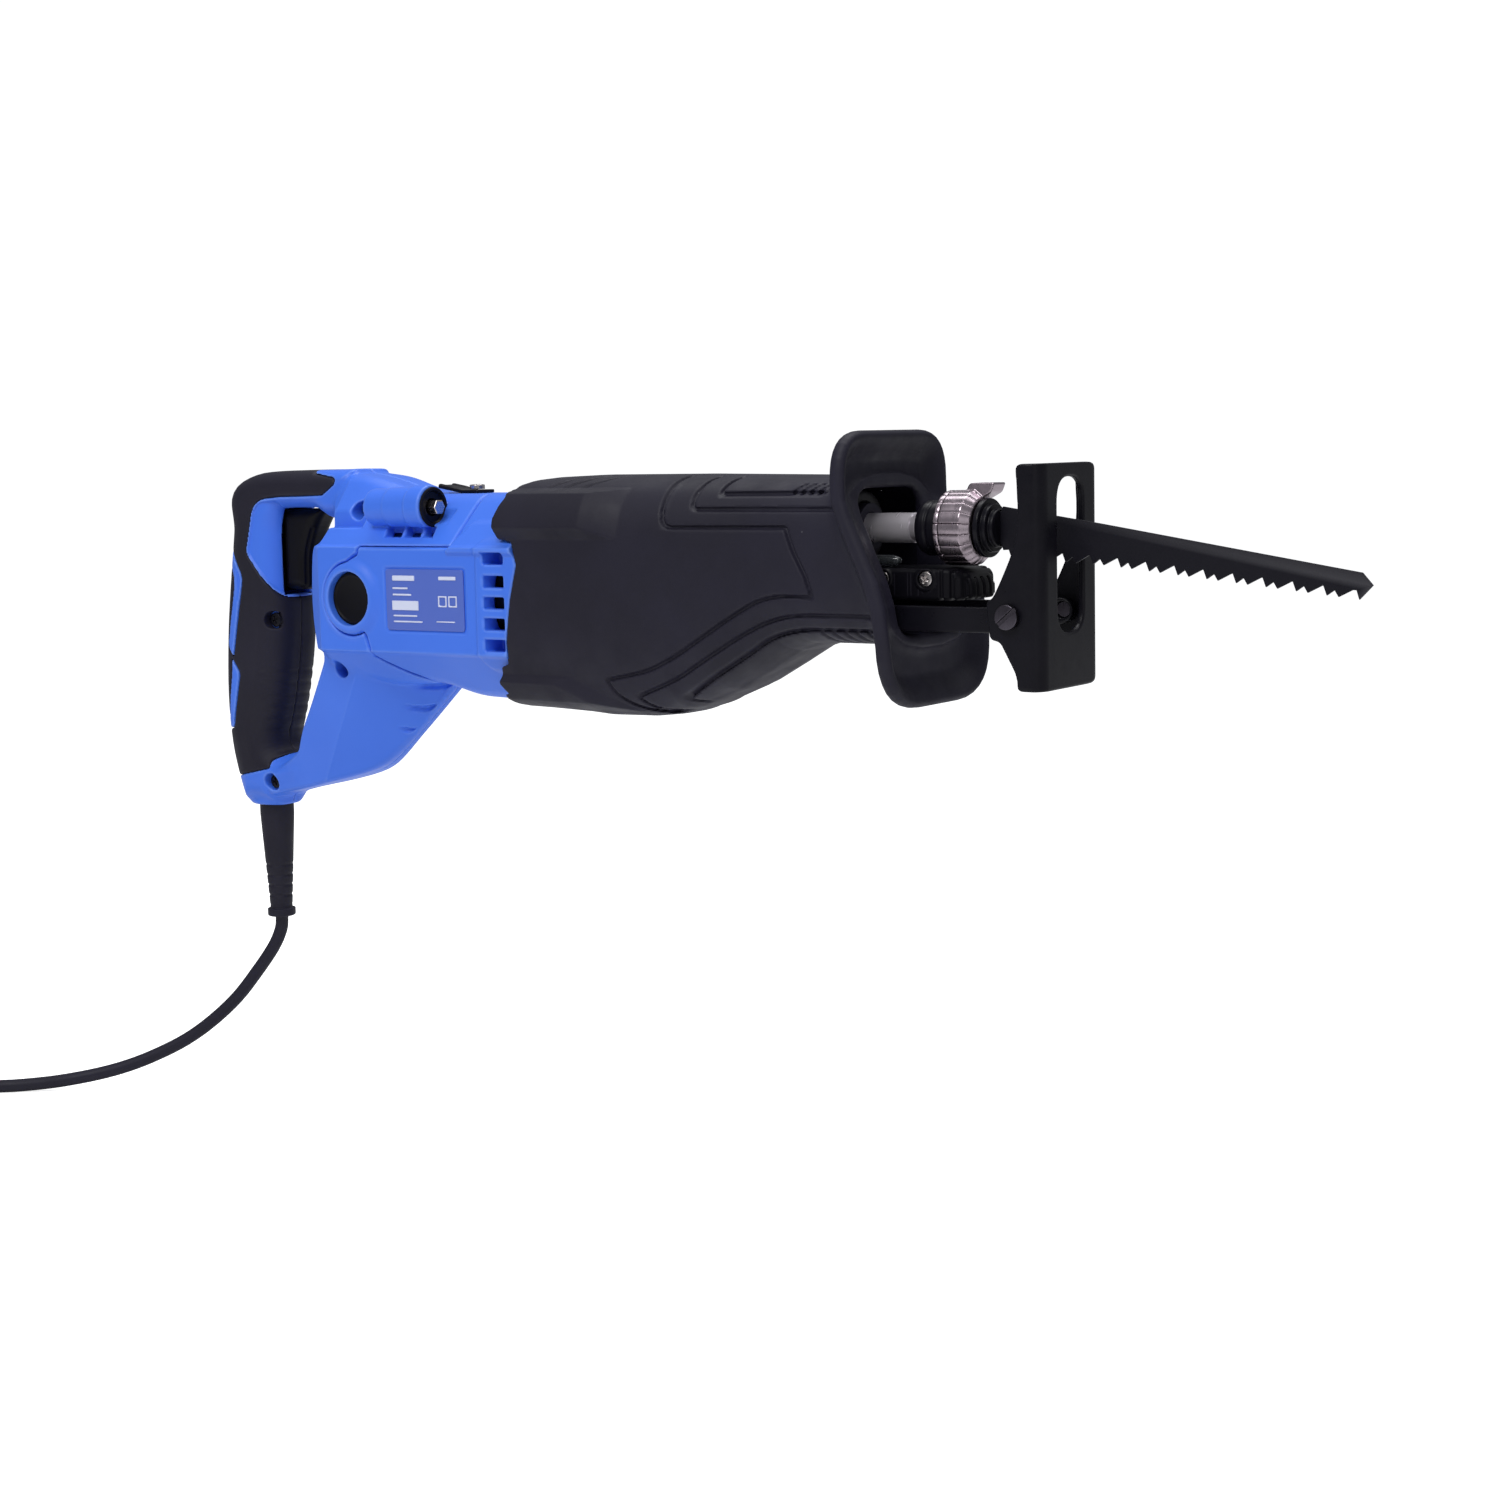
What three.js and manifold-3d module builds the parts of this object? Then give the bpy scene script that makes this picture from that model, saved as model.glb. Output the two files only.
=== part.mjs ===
// Mains reciprocating saw, millimetres. X runs forward along the blade, Y to the left, Z up.
// The origin is the middle of the rear grip, where a hand holds the saw.
import * as THREE from 'three';
import { mergeVertices } from 'three/addons/utils/BufferGeometryUtils.js';
import Module from 'manifold-3d';

const wasm = await Module();
wasm.setup();

// ---- Driving dimensions -----------------------------------------------------------------------
const GAP = 0.3; // clearance between pieces that touch
const PLUNGER_Z = 60; // height of the plunger's axis
const MOTOR_Z = 30; // height of the armature's axis
const STROKE = 28; // full travel of the blade

const GRIP_HALF = 15; // half width of the hard grip under its soft cover
const COVER = 2.2; // thickness of the soft grip cover
const HEAD_HALF = 36; // half width of the rear end of the motor section
const DECK_HALF = 37.5; // half width of the sloping deck above the motor
const WALL = 3; // wall of the plastic housings

const CAP_X = 91; // brush axis along the motor
const CAP_R = 11.7;
const BOSS_R = 17.5; // round boss that carries each brush cap
const BAND_HALF = 39; // half width of the motor housing's flat sides
const BAND_LOW = 7;
const BAND_HIGH = 52;
const BARREL_R = 36; // round barrel of the motor housing
const STATOR_R = 33;
const HOUSING_FRONT = 182;
const TONGUE_FRONT = 190;

const CASE_FRONT = 341; // front face of the gear case, where the plunger comes out
const GEAR_X = 246; // vertical axis of the crank gear
const GEAR_TEETH = 32;
const PINION_TEETH = 8;
const GEAR_TOP = 23; // height of the crown teeth
const PLUNGER_R = 6;

const CLAMP_BACK = 366; // rear face of the blade clamp
const RING_BACK = 377;
const RING_FRONT = 392;
const RING_R = 14.7;
const NOSE_FRONT = 400;

const SHOE_X = 430; // front face of the shoe
const SHOE_HALF = 25;
const SHOE_LOW = -1;
const SHOE_HIGH = 85;
const SHEET = 2.6; // sheet thickness of the shoe
const SLOT_HALF = 10.5;
const SLOT_LOW = 21;
const SLOT_HIGH = 79;
const PIVOT_X = 416.4;
const PIVOT_Z = 27.5;
const PIVOT_BORE = 3.3;
const ARM_IN = 18; // inner and outer faces of the shoe bracket's arms
const ARM_OUT = 21;

const TUBE = { y: -28, z: 70, r: 9.2, back: 97.5, front: 131.5 }; // hex key holder
const CORD_R = 3.1;
const FLOOR_Z = -212; // the surface that the free cord lies on
const SLEEVE = { x: -1, top: -72, low: -128, rTop: 8.1, rLow: 5.2 };

// ---- Materials --------------------------------------------------------------------------------
const material = (color, roughness, metalness = 0) =>
  new THREE.MeshStandardMaterial({ color, roughness, metalness });
const BLUE = material(0x3f6fe0, 0.42);
const BLACK_RUBBER = material(0x26252b, 0.75);
const BLACK_PLASTIC = material(0x1e1d22, 0.5);
const LABEL = material(0x5a72c8, 0.5);
const STEEL = material(0xb0acaa, 0.3, 1);
const BLACK_STEEL = material(0x2a2a30, 0.45, 0.8);
const IRON = material(0x74757a, 0.55, 0.9);
const ALUMINIUM = material(0x38373c, 0.5, 0.5);
const BRASS = material(0xb5883c, 0.35, 1);
const COPPER = material(0xa8583a, 0.4, 1);
const CARBON = material(0x2d2d2d, 0.8);

// ---- Geometry helpers -------------------------------------------------------------------------
const along = {
  x: new THREE.Matrix4().makeBasis(
    new THREE.Vector3(0, 1, 0), new THREE.Vector3(0, 0, 1), new THREE.Vector3(1, 0, 0)),
  y: new THREE.Matrix4().makeBasis(
    new THREE.Vector3(0, 0, 1), new THREE.Vector3(1, 0, 0), new THREE.Vector3(0, 1, 0)),
  z: new THREE.Matrix4(),
};

function block(x0, x1, y0, y1, z0, z1) {
  const shape = new THREE.BoxGeometry(x1 - x0, y1 - y0, z1 - z0);
  return shape.translate((x0 + x1) / 2, (y0 + y1) / 2, (z0 + z1) / 2);
}

// A round bar between a and b along an axis; the other two coordinates are u and v in X, Y, Z order.
function bar(axis, a, b, u, v, radius, sides = 20) {
  const shape = new THREE.CylinderGeometry(radius, radius, b - a, sides);
  shape.rotateX(Math.PI / 2).translate(0, 0, (a + b) / 2).applyMatrix4(along[axis]);
  const [x, y, z] = { x: [0, u, v], y: [u, 0, v], z: [u, v, 0] }[axis];
  return shape.translate(x, y, z);
}

// A turned piece about a line along X or Z, from [radius, place] points listed from the low end up.
function turned(axis, points, u, v, sides = 24) {
  const profile = points.map(([r, place]) => new THREE.Vector2(r, place));
  if (points[0][0] > 0) profile.push(profile[0].clone());
  const shape = new THREE.LatheGeometry(profile, sides).rotateX(Math.PI / 2).applyMatrix4(along[axis]);
  return axis === 'x' ? shape.translate(0, u, v) : shape.translate(u, v, 0);
}

// A closed outline whose corners [x, y, radius] are rounded.
function outline(corners) {
  const shape = new THREE.Shape();
  const count = corners.length;
  corners.forEach(([x, y, radius = 0], i) => {
    const before = corners[(i + count - 1) % count];
    const after = corners[(i + 1) % count];
    const toward = ([tx, ty]) => {
      const length = Math.hypot(tx - x, ty - y);
      const reach = Math.min(radius, length / 2.01) / length;
      return [x + (tx - x) * reach, y + (ty - y) * reach];
    };
    const start = toward(before);
    const end = toward(after);
    if (i === 0) shape.moveTo(...start);
    else shape.lineTo(...start);
    if (radius > 0) shape.quadraticCurveTo(x, y, ...end);
  });
  return shape;
}

function extruded(shape, length, curveSegments = 3) {
  return new THREE.ExtrudeGeometry(shape, { depth: length, bevelEnabled: false, curveSegments });
}

// A slab between two Y planes from an outline drawn in X and Z.
const slab = (corners, y0, y1) =>
  extruded(outline(corners), y1 - y0).rotateX(Math.PI / 2).translate(0, y1, 0);

// A prism between two X planes from an outline drawn in Y and Z.
const prism = (corners, x0, x1) =>
  extruded(outline(corners), x1 - x0).applyMatrix4(along.x).translate(x0, 0, 0);

// A solid through closed rings of points, each ring listed anticlockwise seen from the front.
function loft(rings) {
  const size = rings[0].length;
  const vertices = rings.flat().flat();
  const faces = [];
  for (let r = 0; r + 1 < rings.length; r++) {
    for (let i = 0; i < size; i++) {
      const [a, b] = [r * size + i, r * size + ((i + 1) % size)];
      faces.push(a, b, b + size, a, b + size, a + size);
    }
  }
  const last = (rings.length - 1) * size;
  for (let i = 1; i + 1 < size; i++) {
    faces.push(0, i + 1, i);
    faces.push(last, last + i, last + i + 1);
  }
  const shape = new THREE.BufferGeometry();
  shape.setAttribute('position', new THREE.Float32BufferAttribute(vertices, 3));
  shape.setIndex(faces);
  return shape;
}

function solid(shape) {
  if (!(shape instanceof THREE.BufferGeometry)) return shape;
  const bare = shape.clone();
  ['normal', 'uv'].forEach((name) => bare.deleteAttribute(name));
  const merged = mergeVertices(bare, 1e-3);
  const mesh = new wasm.Mesh({
    numProp: 3,
    vertProperties: Float32Array.from(merged.attributes.position.array),
    triVerts: Uint32Array.from(merged.index.array),
  });
  return new wasm.Manifold(mesh);
}

const joined = (...shapes) => shapes.map(solid).reduce((a, b) => a.add(b));
const cut = (shape, ...tools) => tools.map(solid).reduce((a, b) => a.subtract(b), solid(shape));
const common = (a, b) => solid(a).intersect(solid(b));

function surface(body) {
  const mesh = body.getMesh();
  const shape = new THREE.BufferGeometry();
  shape.setAttribute('position', new THREE.Float32BufferAttribute(mesh.vertProperties, 3));
  shape.setIndex(Array.from(mesh.triVerts));
  return shape;
}

const saw = new THREE.Group();

function add(name, shape, finish) {
  const geometry = shape instanceof THREE.BufferGeometry ? shape : surface(shape);
  const piece = new THREE.Mesh(geometry, finish);
  piece.name = name;
  saw.add(piece);
}

const mirrored = (y0, y1, side) => (side < 0 ? [-y1, -y0] : [y0, y1]);
const SIDES = [['right', -1], ['left', 1]];

// ---- Handle shells ----------------------------------------------------------------------------
const gripOutline = [
  [-4, 84, 12], [60, 84, 4], [60, 70, 3], [46, 70, 3], [25, 69.5, 2], [21.6, 60, 4], [21, 31, 3],
  [22.6, 26, 2], [22.6, 24.8, 1], [20, 22, 2], [20, 6, 6], [16.7, -13, 8], [12.3, -30, 8],
  [8.8, -43.6, 3], [27, -43.6, 2], [34, -56, 4], [14, -72, 3], [-10, -73, 4], [-14.5, -58, 6],
  [-18.3, -45, 8], [-20.4, -20, 14], [-17, 26, 20], [-12, 62, 8], [-11, 78, 8],
];
const headOutline = [
  [48, 84, 6], [66, 86, 3], [92, 79, 3], [92, 4, 2], [66, -2, 3], [52, 12, 8], [47, 40, 8],
];
const deckOutline = [[60, 84, 3], [66, 86, 3], [104, 75, 6], [149.5, 75, 1], [149.5, 52.4, 1], [60, 52.4, 1]];
// Cross sections in Y and Z that bevel the top edges of the head and the deck.
const headSection = [
  [-40, -5], [40, -5], [40, 50], [36, 62, 6], [20, 87, 4], [-20, 87, 4], [-36, 62, 6], [-40, 50],
];
const deckSection = [
  [-DECK_HALF, 52], [DECK_HALF, 52], [DECK_HALF, 55], [15, 75.5, 3], [15, 90], [-15, 90], [-15, 75.5, 3],
  [-DECK_HALF, 55],
];
const legOutline = [
  [60, 6.4, 2], [118, 6.4, 2], [120, -12, 4], [90, -36, 8], [72, -52, 10], [40, -63, 8], [10, -66, 4],
  [16, -54, 3], [33, -49, 4], [58, -9, 4],
];
const legSection = [[-31, 6.6], [31, 6.6], [16, -68], [-16, -68]];

function handleShell(side) {
  const half = (a, b) => mirrored(a, b, side);
  const span = (corners, to) => slab(corners, ...half(GAP / 2, to));
  const outer = joined(
    span(gripOutline, GRIP_HALF), common(span(legOutline, DECK_HALF), prism(legSection, 0, 130)),
    common(span(headOutline, HEAD_HALF), prism(headSection, 40, 100)),
    common(span(deckOutline, DECK_HALF), prism(deckSection, 59, 150)));
  const inside = [
    block(-10, 12, ...half(-1, GRIP_HALF - WALL), -44, 24),
    block(-8, 14, ...half(-1, GRIP_HALF - WALL), 24, 74),
    bar('z', -74, -40, SLEEVE.x, 0, SLEEVE.rTop + GAP, 20),
    block(-7, 60, ...half(-1, GRIP_HALF - WALL), 72, 80),
    block(51, 88, ...half(-1, HEAD_HALF - WALL), 8, 76),
    block(62, 112, ...half(-1, 19), -20, 10),
    bar('x', 79.5, 160, 0, MOTOR_Z, BARREL_R + GAP, 36),
    block(CAP_X - 3, 160, ...half(-1, 60), BAND_LOW - GAP, BAND_HIGH + GAP),
    bar('y', ...half(15, 60), CAP_X, MOTOR_Z, BOSS_R + GAP, 24),
    block(11, 46, ...half(-1, 8.4), 28.5, 68.2),
  ];
  const shell = cut(outer, ...inside);
  if (side > 0) return shell;
  const holder = bar('x', TUBE.back, TUBE.front, TUBE.y, TUBE.z, TUBE.r, 20);
  const holes = SCREWS.map(([x, z, seat]) => bar('y', -60, -seat, x, z, 3.6, 12));
  return cut(joined(shell, holder),
    bar('x', TUBE.back + 2, TUBE.front + 4, TUBE.y, TUBE.z, 6.9, 16), ...holes);
}

// Recessed screws on the right side: X, Z and the depth in Y at which the head seats.
const SCREWS = [[16.5, 17, 11], [85.5, 68.5, 18], [72.5, -3, 17], [12, -60, 11]];

SIDES.forEach(([name, side]) => add(`handle_shell_${name}`, handleShell(side), BLUE));

SCREWS.forEach(([x, z, seat], i) => {
  const head = bar('y', -seat - 2, -seat - 0.3, x, z, 3.1, 12);
  add(`handle_screw_${i + 1}`, head, BLACK_STEEL);
});

// Soft cover over the grip: a skin that wraps the top arm, the back and the lower grip of each shell.
const coverOutline = [
  [-4, 86.3, 14], [40, 86.3, 2], [60, 84.4, 1], [54, 75.2, 2], [13, 73.8, 5], [6, 66, 5], [2.4, 48.6, 3],
  [19.5, 28, 3], [22.3, 24.8, 1], [22.2, 6, 6], [18.9, -13, 8], [14.5, -30, 8], [11, -41.4, 3], [27, -41.6, 1],
  [27, -43.3, 0.5], [10.5, -50.2, 2], [-6.6, -57.4, 2], [-16.3, -59.5, 2], [-20.5, -45, 8],
  [-22.7, -20, 14], [-19, 26, 20], [-14.2, 62, 8], [-13.2, 78, 8],
];

SIDES.forEach(([name, side]) => {
  const outer = slab(coverOutline, ...mirrored(GAP / 2, GRIP_HALF + COVER, side));
  const core = slab(gripOutline, ...mirrored(-1, GRIP_HALF + GAP, side));
  const shifts = [[GAP, 0], [-GAP, 0], [0, GAP], [0, -GAP]];
  const grown = shifts.map(([dx, dz]) => core.clone().translate(dx, 0, dz));
  const room = [
    block(47 - GAP, 70, ...mirrored(-1, 40, side), 60, 90),
    bar('y', ...mirrored(0, 40, side), SCREWS[0][0] + (side > 0 ? 90 : 0), SCREWS[0][1], 3.8, 16),
  ];
  add(`grip_cover_${name}`, cut(outer, ...grown, ...room), BLACK_RUBBER);
});

// ---- Trigger, switch and cord entry -----------------------------------------------------------
const triggerOutline = [
  [17.5, 67, 2], [41, 67.6, 2], [35, 58, 8], [32.6, 45, 12], [32.6, 30, 3], [17.5, 30, 2],
];
add('trigger', joined(slab(triggerOutline, -7.6, 7.6), block(9, 18, -4, 4, 42, 56)), BLACK_PLASTIC);
add('switch_body', cut(block(-7, 9.5, -9, 9, 30, 68), block(1, 10, -4.4, 4.4, 41.6, 56.4)), BLACK_PLASTIC);

add('strain_relief', turned('z', [[0, SLEEVE.low], [6.8, SLEEVE.low], [6.8, SLEEVE.low + 4],
  [SLEEVE.rLow, SLEEVE.low + 5], [SLEEVE.rTop, SLEEVE.top], [SLEEVE.rTop, SLEEVE.top + 14],
  [0, SLEEVE.top + 14]], SLEEVE.x, 0, 20), BLACK_RUBBER);

// ---- Motor housing and brushes ----------------------------------------------------------------
// Section of the motor housing's front flange, grown outwards by a margin.
const flangeSection = (m) => [
  [-BAND_HALF - m, 7, 4], [-BAND_HALF - m, 53, 4], [-16, 74 + m, 3], [16, 74 + m, 3], [BAND_HALF + m, 53, 4],
  [BAND_HALF + m, 7, 4], [17, -15 - m, 6], [-17, -15 - m, 6],
];
const VENTS = { count: 5, back: 171, front: 180, low: 8.5, height: 6, pitch: 9.2 };
function motorHousing() {
  const front = prism(flangeSection(0), 150, HOUSING_FRONT);
  const band = block(CAP_X + 3, 151, -BAND_HALF, BAND_HALF, BAND_LOW, BAND_HIGH);
  // A tongue on each side reaches forward under the edge of the boot.
  const tongues = SIDES.map(([, side]) =>
    block(HOUSING_FRONT - 1, TONGUE_FRONT, ...mirrored(HEAD_HALF + GAP, BAND_HALF - 3 * GAP, side), 12, 47));
  const boss = bar('y', -BAND_HALF - 1, BAND_HALF + 1, CAP_X, MOTOR_Z, BOSS_R, 24);
  const outer = joined(front, band, boss, ...tongues, bar('x', 80, 151, 0, MOTOR_Z, BARREL_R, 36),
    bar('x', 58, 81, 0, MOTOR_Z, 14, 24));
  const slots = [...Array(VENTS.count)].map((_, i) => {
    const low = VENTS.low + i * VENTS.pitch;
    return block(VENTS.back, VENTS.front, -50, 50, low, low + VENTS.height);
  });
  return cut(outer, bar('x', 84, 200, 0, MOTOR_Z, STATOR_R + GAP, 32), bar('x', 57, 85, 0, MOTOR_Z, 11.3, 24),
    bar('y', -60, 60, CAP_X, MOTOR_Z, 6.6, 16), bar('y', -60, -36, CAP_X, MOTOR_Z, CAP_R + GAP, 24),
    bar('y', 36, 60, CAP_X, MOTOR_Z, CAP_R + GAP, 24), ...slots);
}
add('motor_housing', motorHousing(), BLUE);
add('label_plate', block(113, 158, -BAND_HALF - 0.9, -BAND_HALF - GAP, 17, 43), LABEL);

SIDES.forEach(([name, side]) => {
  const piece = (a, b, radius, sides) => bar('y', ...mirrored(a, b, side), CAP_X, MOTOR_Z, radius, sides);
  const holder = cut(piece(18, 35.5, 6.2, 20),
    block(CAP_X - 3.4, CAP_X + 3.4, -40, 40, MOTOR_Z - 3.4, MOTOR_Z + 3.4));
  add(`brush_cap_${name}`, piece(36.3, 38.4, CAP_R, 28), BLACK_PLASTIC);
  add(`brush_holder_${name}`, holder, BRASS);
  const brush = block(CAP_X - 3, CAP_X + 3, ...mirrored(12.4, 30, side), MOTOR_Z - 3, MOTOR_Z + 3);
  add(`carbon_brush_${name}`, brush, CARBON);
});

// ---- Motor ------------------------------------------------------------------------------------
const POLE = 14; // half height of the windows that hold the field coils
const ring = (x0, x1, outer, inner, sides = 24, z = MOTOR_Z) =>
  turned('x', [[inner, x0], [outer, x0], [outer, x1], [inner, x1]], 0, z, sides);

const window = common(bar('x', 100, 154, 0, MOTOR_Z, 30.3, 24),
  block(100, 154, -40, 40, MOTOR_Z - POLE, MOTOR_Z + POLE));
add('stator_core', cut(ring(104, 146, STATOR_R, 22.8, 32), window), IRON);
[['upper', 1], ['lower', -1]].forEach(([name, up]) => {
  const level = (a, b) => (up > 0 ? [MOTOR_Z + a, MOTOR_Z + b] : [MOTOR_Z - b, MOTOR_Z - a]);
  const coil = common(ring(100, 150, 29.8, 24, 24), block(90, 160, -40, 40, ...level(1.5, 60)));
  add(`field_coil_${name}`, cut(coil, block(103.6, 146.4, -40, 40, ...level(POLE - GAP, 60))), COPPER);
});

const pinionTooth = (i) => {
  const tooth = prism([[-1.15, 4.4], [-0.6, 7.4], [0.6, 7.4], [1.15, 4.4]], 218, 226);
  return tooth.rotateX((i * 2 * Math.PI) / PINION_TEETH).translate(0, 0, MOTOR_Z);
};
add('armature_shaft', joined(bar('x', 60, 226, 0, MOTOR_Z, 4.6, 16),
  ...[...Array(PINION_TEETH)].map((_, i) => pinionTooth(i))), STEEL);
add('armature_core', ring(106, 144, 22, 4.9), IRON);
add('commutator', ring(86, 98, 12, 4.9, 20), COPPER);
const FAN_BLADES = 9;
const blades = [...Array(FAN_BLADES)].map((_, i) =>
  block(157.5, 166, -1, 1, 8, 29).rotateX((i * 2 * Math.PI) / FAN_BLADES).translate(0, 0, MOTOR_Z));
add('cooling_fan', joined(ring(156, 158, 30, 4.9), ring(156, 166, 9, 4.9, 16), ...blades), BLACK_PLASTIC);
add('rear_bearing', ring(60, 67, 11, 4.9, 20), STEEL);
add('front_bearing', ring(188, 197, 13, 4.9, 20), STEEL);

// ---- Gear case --------------------------------------------------------------------------------
const CHAMBER_R = 29.5; // room round the crank gear
function gearCase() {
  const towerSection = [
    [-HEAD_HALF, 6, 4], [-HEAD_HALF, 50, 4], [-20, 70, 5], [20, 70, 5], [HEAD_HALF, 50, 4], [HEAD_HALF, 6, 4],
    [20, -7, 4], [-20, -7, 4],
  ];
  const bodySection = [[-20, 34], [-20, 68, 3], [-14, 74, 3], [14, 74, 3], [20, 68, 3], [20, 34]];
  const outer = joined(
    prism(towerSection, HOUSING_FRONT + GAP, 232),
    bar('z', 3, 50, GEAR_X, 0, CHAMBER_R + 3, 28),
    bar('z', -9.5, 4, GEAR_X, 0, 16, 20),
    prism(bodySection, 225, 330),
    block(268, CASE_FRONT, -16.5, 16.5, 23.6, 40),
    bar('x', 322, CASE_FRONT - 3, -18, 56, 4.8, 16),
    bar('x', 320, CASE_FRONT - 3, 0, PLUNGER_Z, 15));
  return cut(outer,
    bar('z', 6.5, 46, GEAR_X, 0, CHAMBER_R, 28), bar('z', -12, 8, GEAR_X, 0, 13.3, 20),
    block(205, 300, -22.4, 22.4, 38, 66), bar('x', 204, 350, 0, PLUNGER_Z, PLUNGER_R + GAP),
    bar('x', 180, 189, 0, MOTOR_Z, 9), bar('x', 187.7, 235, 0, MOTOR_Z, 13.3),
    bar('x', 303, 312.3, 0, PLUNGER_Z, 10.3), bar('x', 322, 345, 0, PLUNGER_Z, 10.3));
}
add('gear_case', gearCase(), ALUMINIUM);
add('gear_case_lid', bar('z', -9.5, -6.3, GEAR_X, 0, 13, 16), ALUMINIUM);
const caseScrew = bar('x', 338.3, 343, -18, 56, 3.2, 14);
add('case_screw', cut(caseScrew, block(342, 344, -18.5, -17.5, 53.5, 58.5)), STEEL);

const noseOutline = [
  [CASE_FRONT + GAP, 32.5, 1], [CASE_FRONT + GAP, 44.9, 2], [387, 44.9, 4], [393, 40, 3], [393, 32.5, 2],
];
const noseScrews = [[355.4, 40.8], [375, 40.8]];
add('nose_cover', cut(slab(noseOutline, -16, 16), block(340, 350, -6, 6, 30, 50),
  ...noseScrews.map(([x, z]) => bar('y', -20, -12, x, z, 3.2, 14))), BLACK_PLASTIC);
noseScrews.forEach(([x, z], i) => {
  const slot = block(x - 2, x + 2, -17, -16, z - 0.4, z + 0.4);
  add(`nose_screw_${i + 1}`, cut(bar('y', -16.6, -12.3, x, z, 2.9, 14), slot), STEEL);
});
add('work_light', turned('x', [[0, 341.6], [2.3, 341.6], [2.3, 357], [1.5, 360], [0, 360.6]], -9.5, 47.5, 16),
  material(0xe8f0f4, 0.1));

// ---- Crank drive ------------------------------------------------------------------------------
const CRANK = STROKE / 2;
const DISC_R = 18.5; // crank disc on top of the gear
const crownTooth = (i) => {
  const tooth = block(22, 27.9, -0.75, 0.75, 18.5, GEAR_TOP);
  return tooth.rotateZ(((i + 0.5) * 2 * Math.PI) / GEAR_TEETH).translate(GEAR_X, 0, 0);
};
add('crank_gear', cut(joined(bar('z', 10, 19, GEAR_X, 0, 28, 32), bar('z', 18, 26, GEAR_X, 0, DISC_R, 24),
  bar('z', 25, 37.5, GEAR_X, CRANK, 3.6, 12), ...[...Array(GEAR_TEETH)].map((_, i) => crownTooth(i))),
bar('z', 9, 18, GEAR_X, 0, 6.3, 16)), STEEL);
add('crank_roller', turned('z', [[3.9, 27], [6.4, 27], [6.4, 37], [3.9, 37]], GEAR_X, CRANK, 16), STEEL);
add('gear_axle', bar('z', -4, 17.7, GEAR_X, 0, 6, 16), STEEL);
add('gear_bearing', turned('z', [[6.3, -6], [13, -6], [13, 5], [6.3, 5]], GEAR_X, 0, 20), STEEL);

add('plunger', bar('x', 220, CLAMP_BACK + 16, 0, PLUNGER_Z, PLUNGER_R), STEEL);
add('yoke', cut(block(GEAR_X - 10, GEAR_X + 10, -21, 21, 38.5, 65),
  block(GEAR_X - 6.8, GEAR_X + 6.8, -19, 19, 38, 50), bar('x', 230, 270, 0, PLUNGER_Z, PLUNGER_R + GAP, 20)), STEEL);
add('rear_bushing', ring(303.3, 312, 10, PLUNGER_R + GAP, 20, PLUNGER_Z), BRASS);
add('front_bushing', ring(322.3, 336, 10, PLUNGER_R + GAP, 20, PLUNGER_Z), BRASS);
add('plunger_seal', ring(336.3, CASE_FRONT, 10, PLUNGER_R + GAP, 20, PLUNGER_Z), BLACK_RUBBER);

// ---- Blade clamp and blade --------------------------------------------------------------------
const turnedAtPlunger = (points, sides) => turned('x', points, 0, PLUNGER_Z, sides);
add('clamp_body', cut(turnedAtPlunger([[PLUNGER_R + GAP, CLAMP_BACK], [9.5, CLAMP_BACK], [11, CLAMP_BACK + 2],
  [11, RING_BACK - GAP], [9.2, RING_BACK - GAP], [9.2, RING_FRONT + 1], [PLUNGER_R + GAP, RING_FRONT + 1]], 20),
block(384, 400, -1.1, 1.1, 53.2, 66.8)), BLACK_STEEL);
add('clamp_ring', cut(joined(turnedAtPlunger([[9.5, RING_BACK], [RING_R - 0.8, RING_BACK], [RING_R, RING_BACK + 1],
  [RING_R, RING_FRONT - 3], [RING_R - 1.5, RING_FRONT], [9.5, RING_FRONT]], 24),
block(RING_FRONT - 7, RING_FRONT + 5, -1, 9, PLUNGER_Z + 12, PLUNGER_Z + 17.5)),
bar('x', RING_BACK - 1, RING_FRONT + 1, 0, PLUNGER_Z, 9.5, 20)), STEEL);
add('clamp_nose', cut(turnedAtPlunger([[0, RING_FRONT + 1.3], [11.5, RING_FRONT + 1.3], [11.5, RING_FRONT + 3.5],
[9.5, RING_FRONT + 3.8], [9.5, RING_FRONT + 5.6], [7.5, RING_FRONT + 6], [7.5, NOSE_FRONT], [0, NOSE_FRONT]], 20),
block(390, 404, -1.1, 1.1, 53.2, 66.8)), BLACK_PLASTIC);

// The blade tapers to its tip and slopes down from the clamp; its teeth come in pairs along the lower edge.
const BLADE_HALF = 0.7;
const PAIRS = 12;
const PAIR = 11.6;
const TOOTH = [[0, 3.3], [1.3, 0], [4.2, 2.3], [5.7, 0], [11, 3.2]]; // step along the blade, height over the tips
const bladeBack = (x) => (x < 443 ? 68.2 - 0.158 * (x - 401) : 61.6 - 0.169 * (x - 443));
const bladeTips = (x) => (x < 443 ? 48.4 - 0.055 * (x - 401) : 46.1 - 0.113 * (x - 443));
function bladeOutline() {
  const points = [[386, 66.5], [386, 53.5], [400.5, 53.5], [401, bladeTips(401) + 3]];
  for (let i = 0; i < PAIRS; i++) {
    TOOTH.forEach(([step, height]) => {
      const x = 403.4 + i * PAIR + step;
      points.push([x, bladeTips(x) + height]);
    });
  }
  points.push([543.4, bladeTips(543) + 3.2], [544.4, bladeTips(544)], [549.5, 39.8], [545.4, bladeBack(545.4)]);
  points.push([443, bladeBack(443)], [401, bladeBack(401)], [400.5, 66.5]);
  return points;
}
add('blade', slab(bladeOutline(), -BLADE_HALF, BLADE_HALF), BLACK_STEEL);

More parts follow.
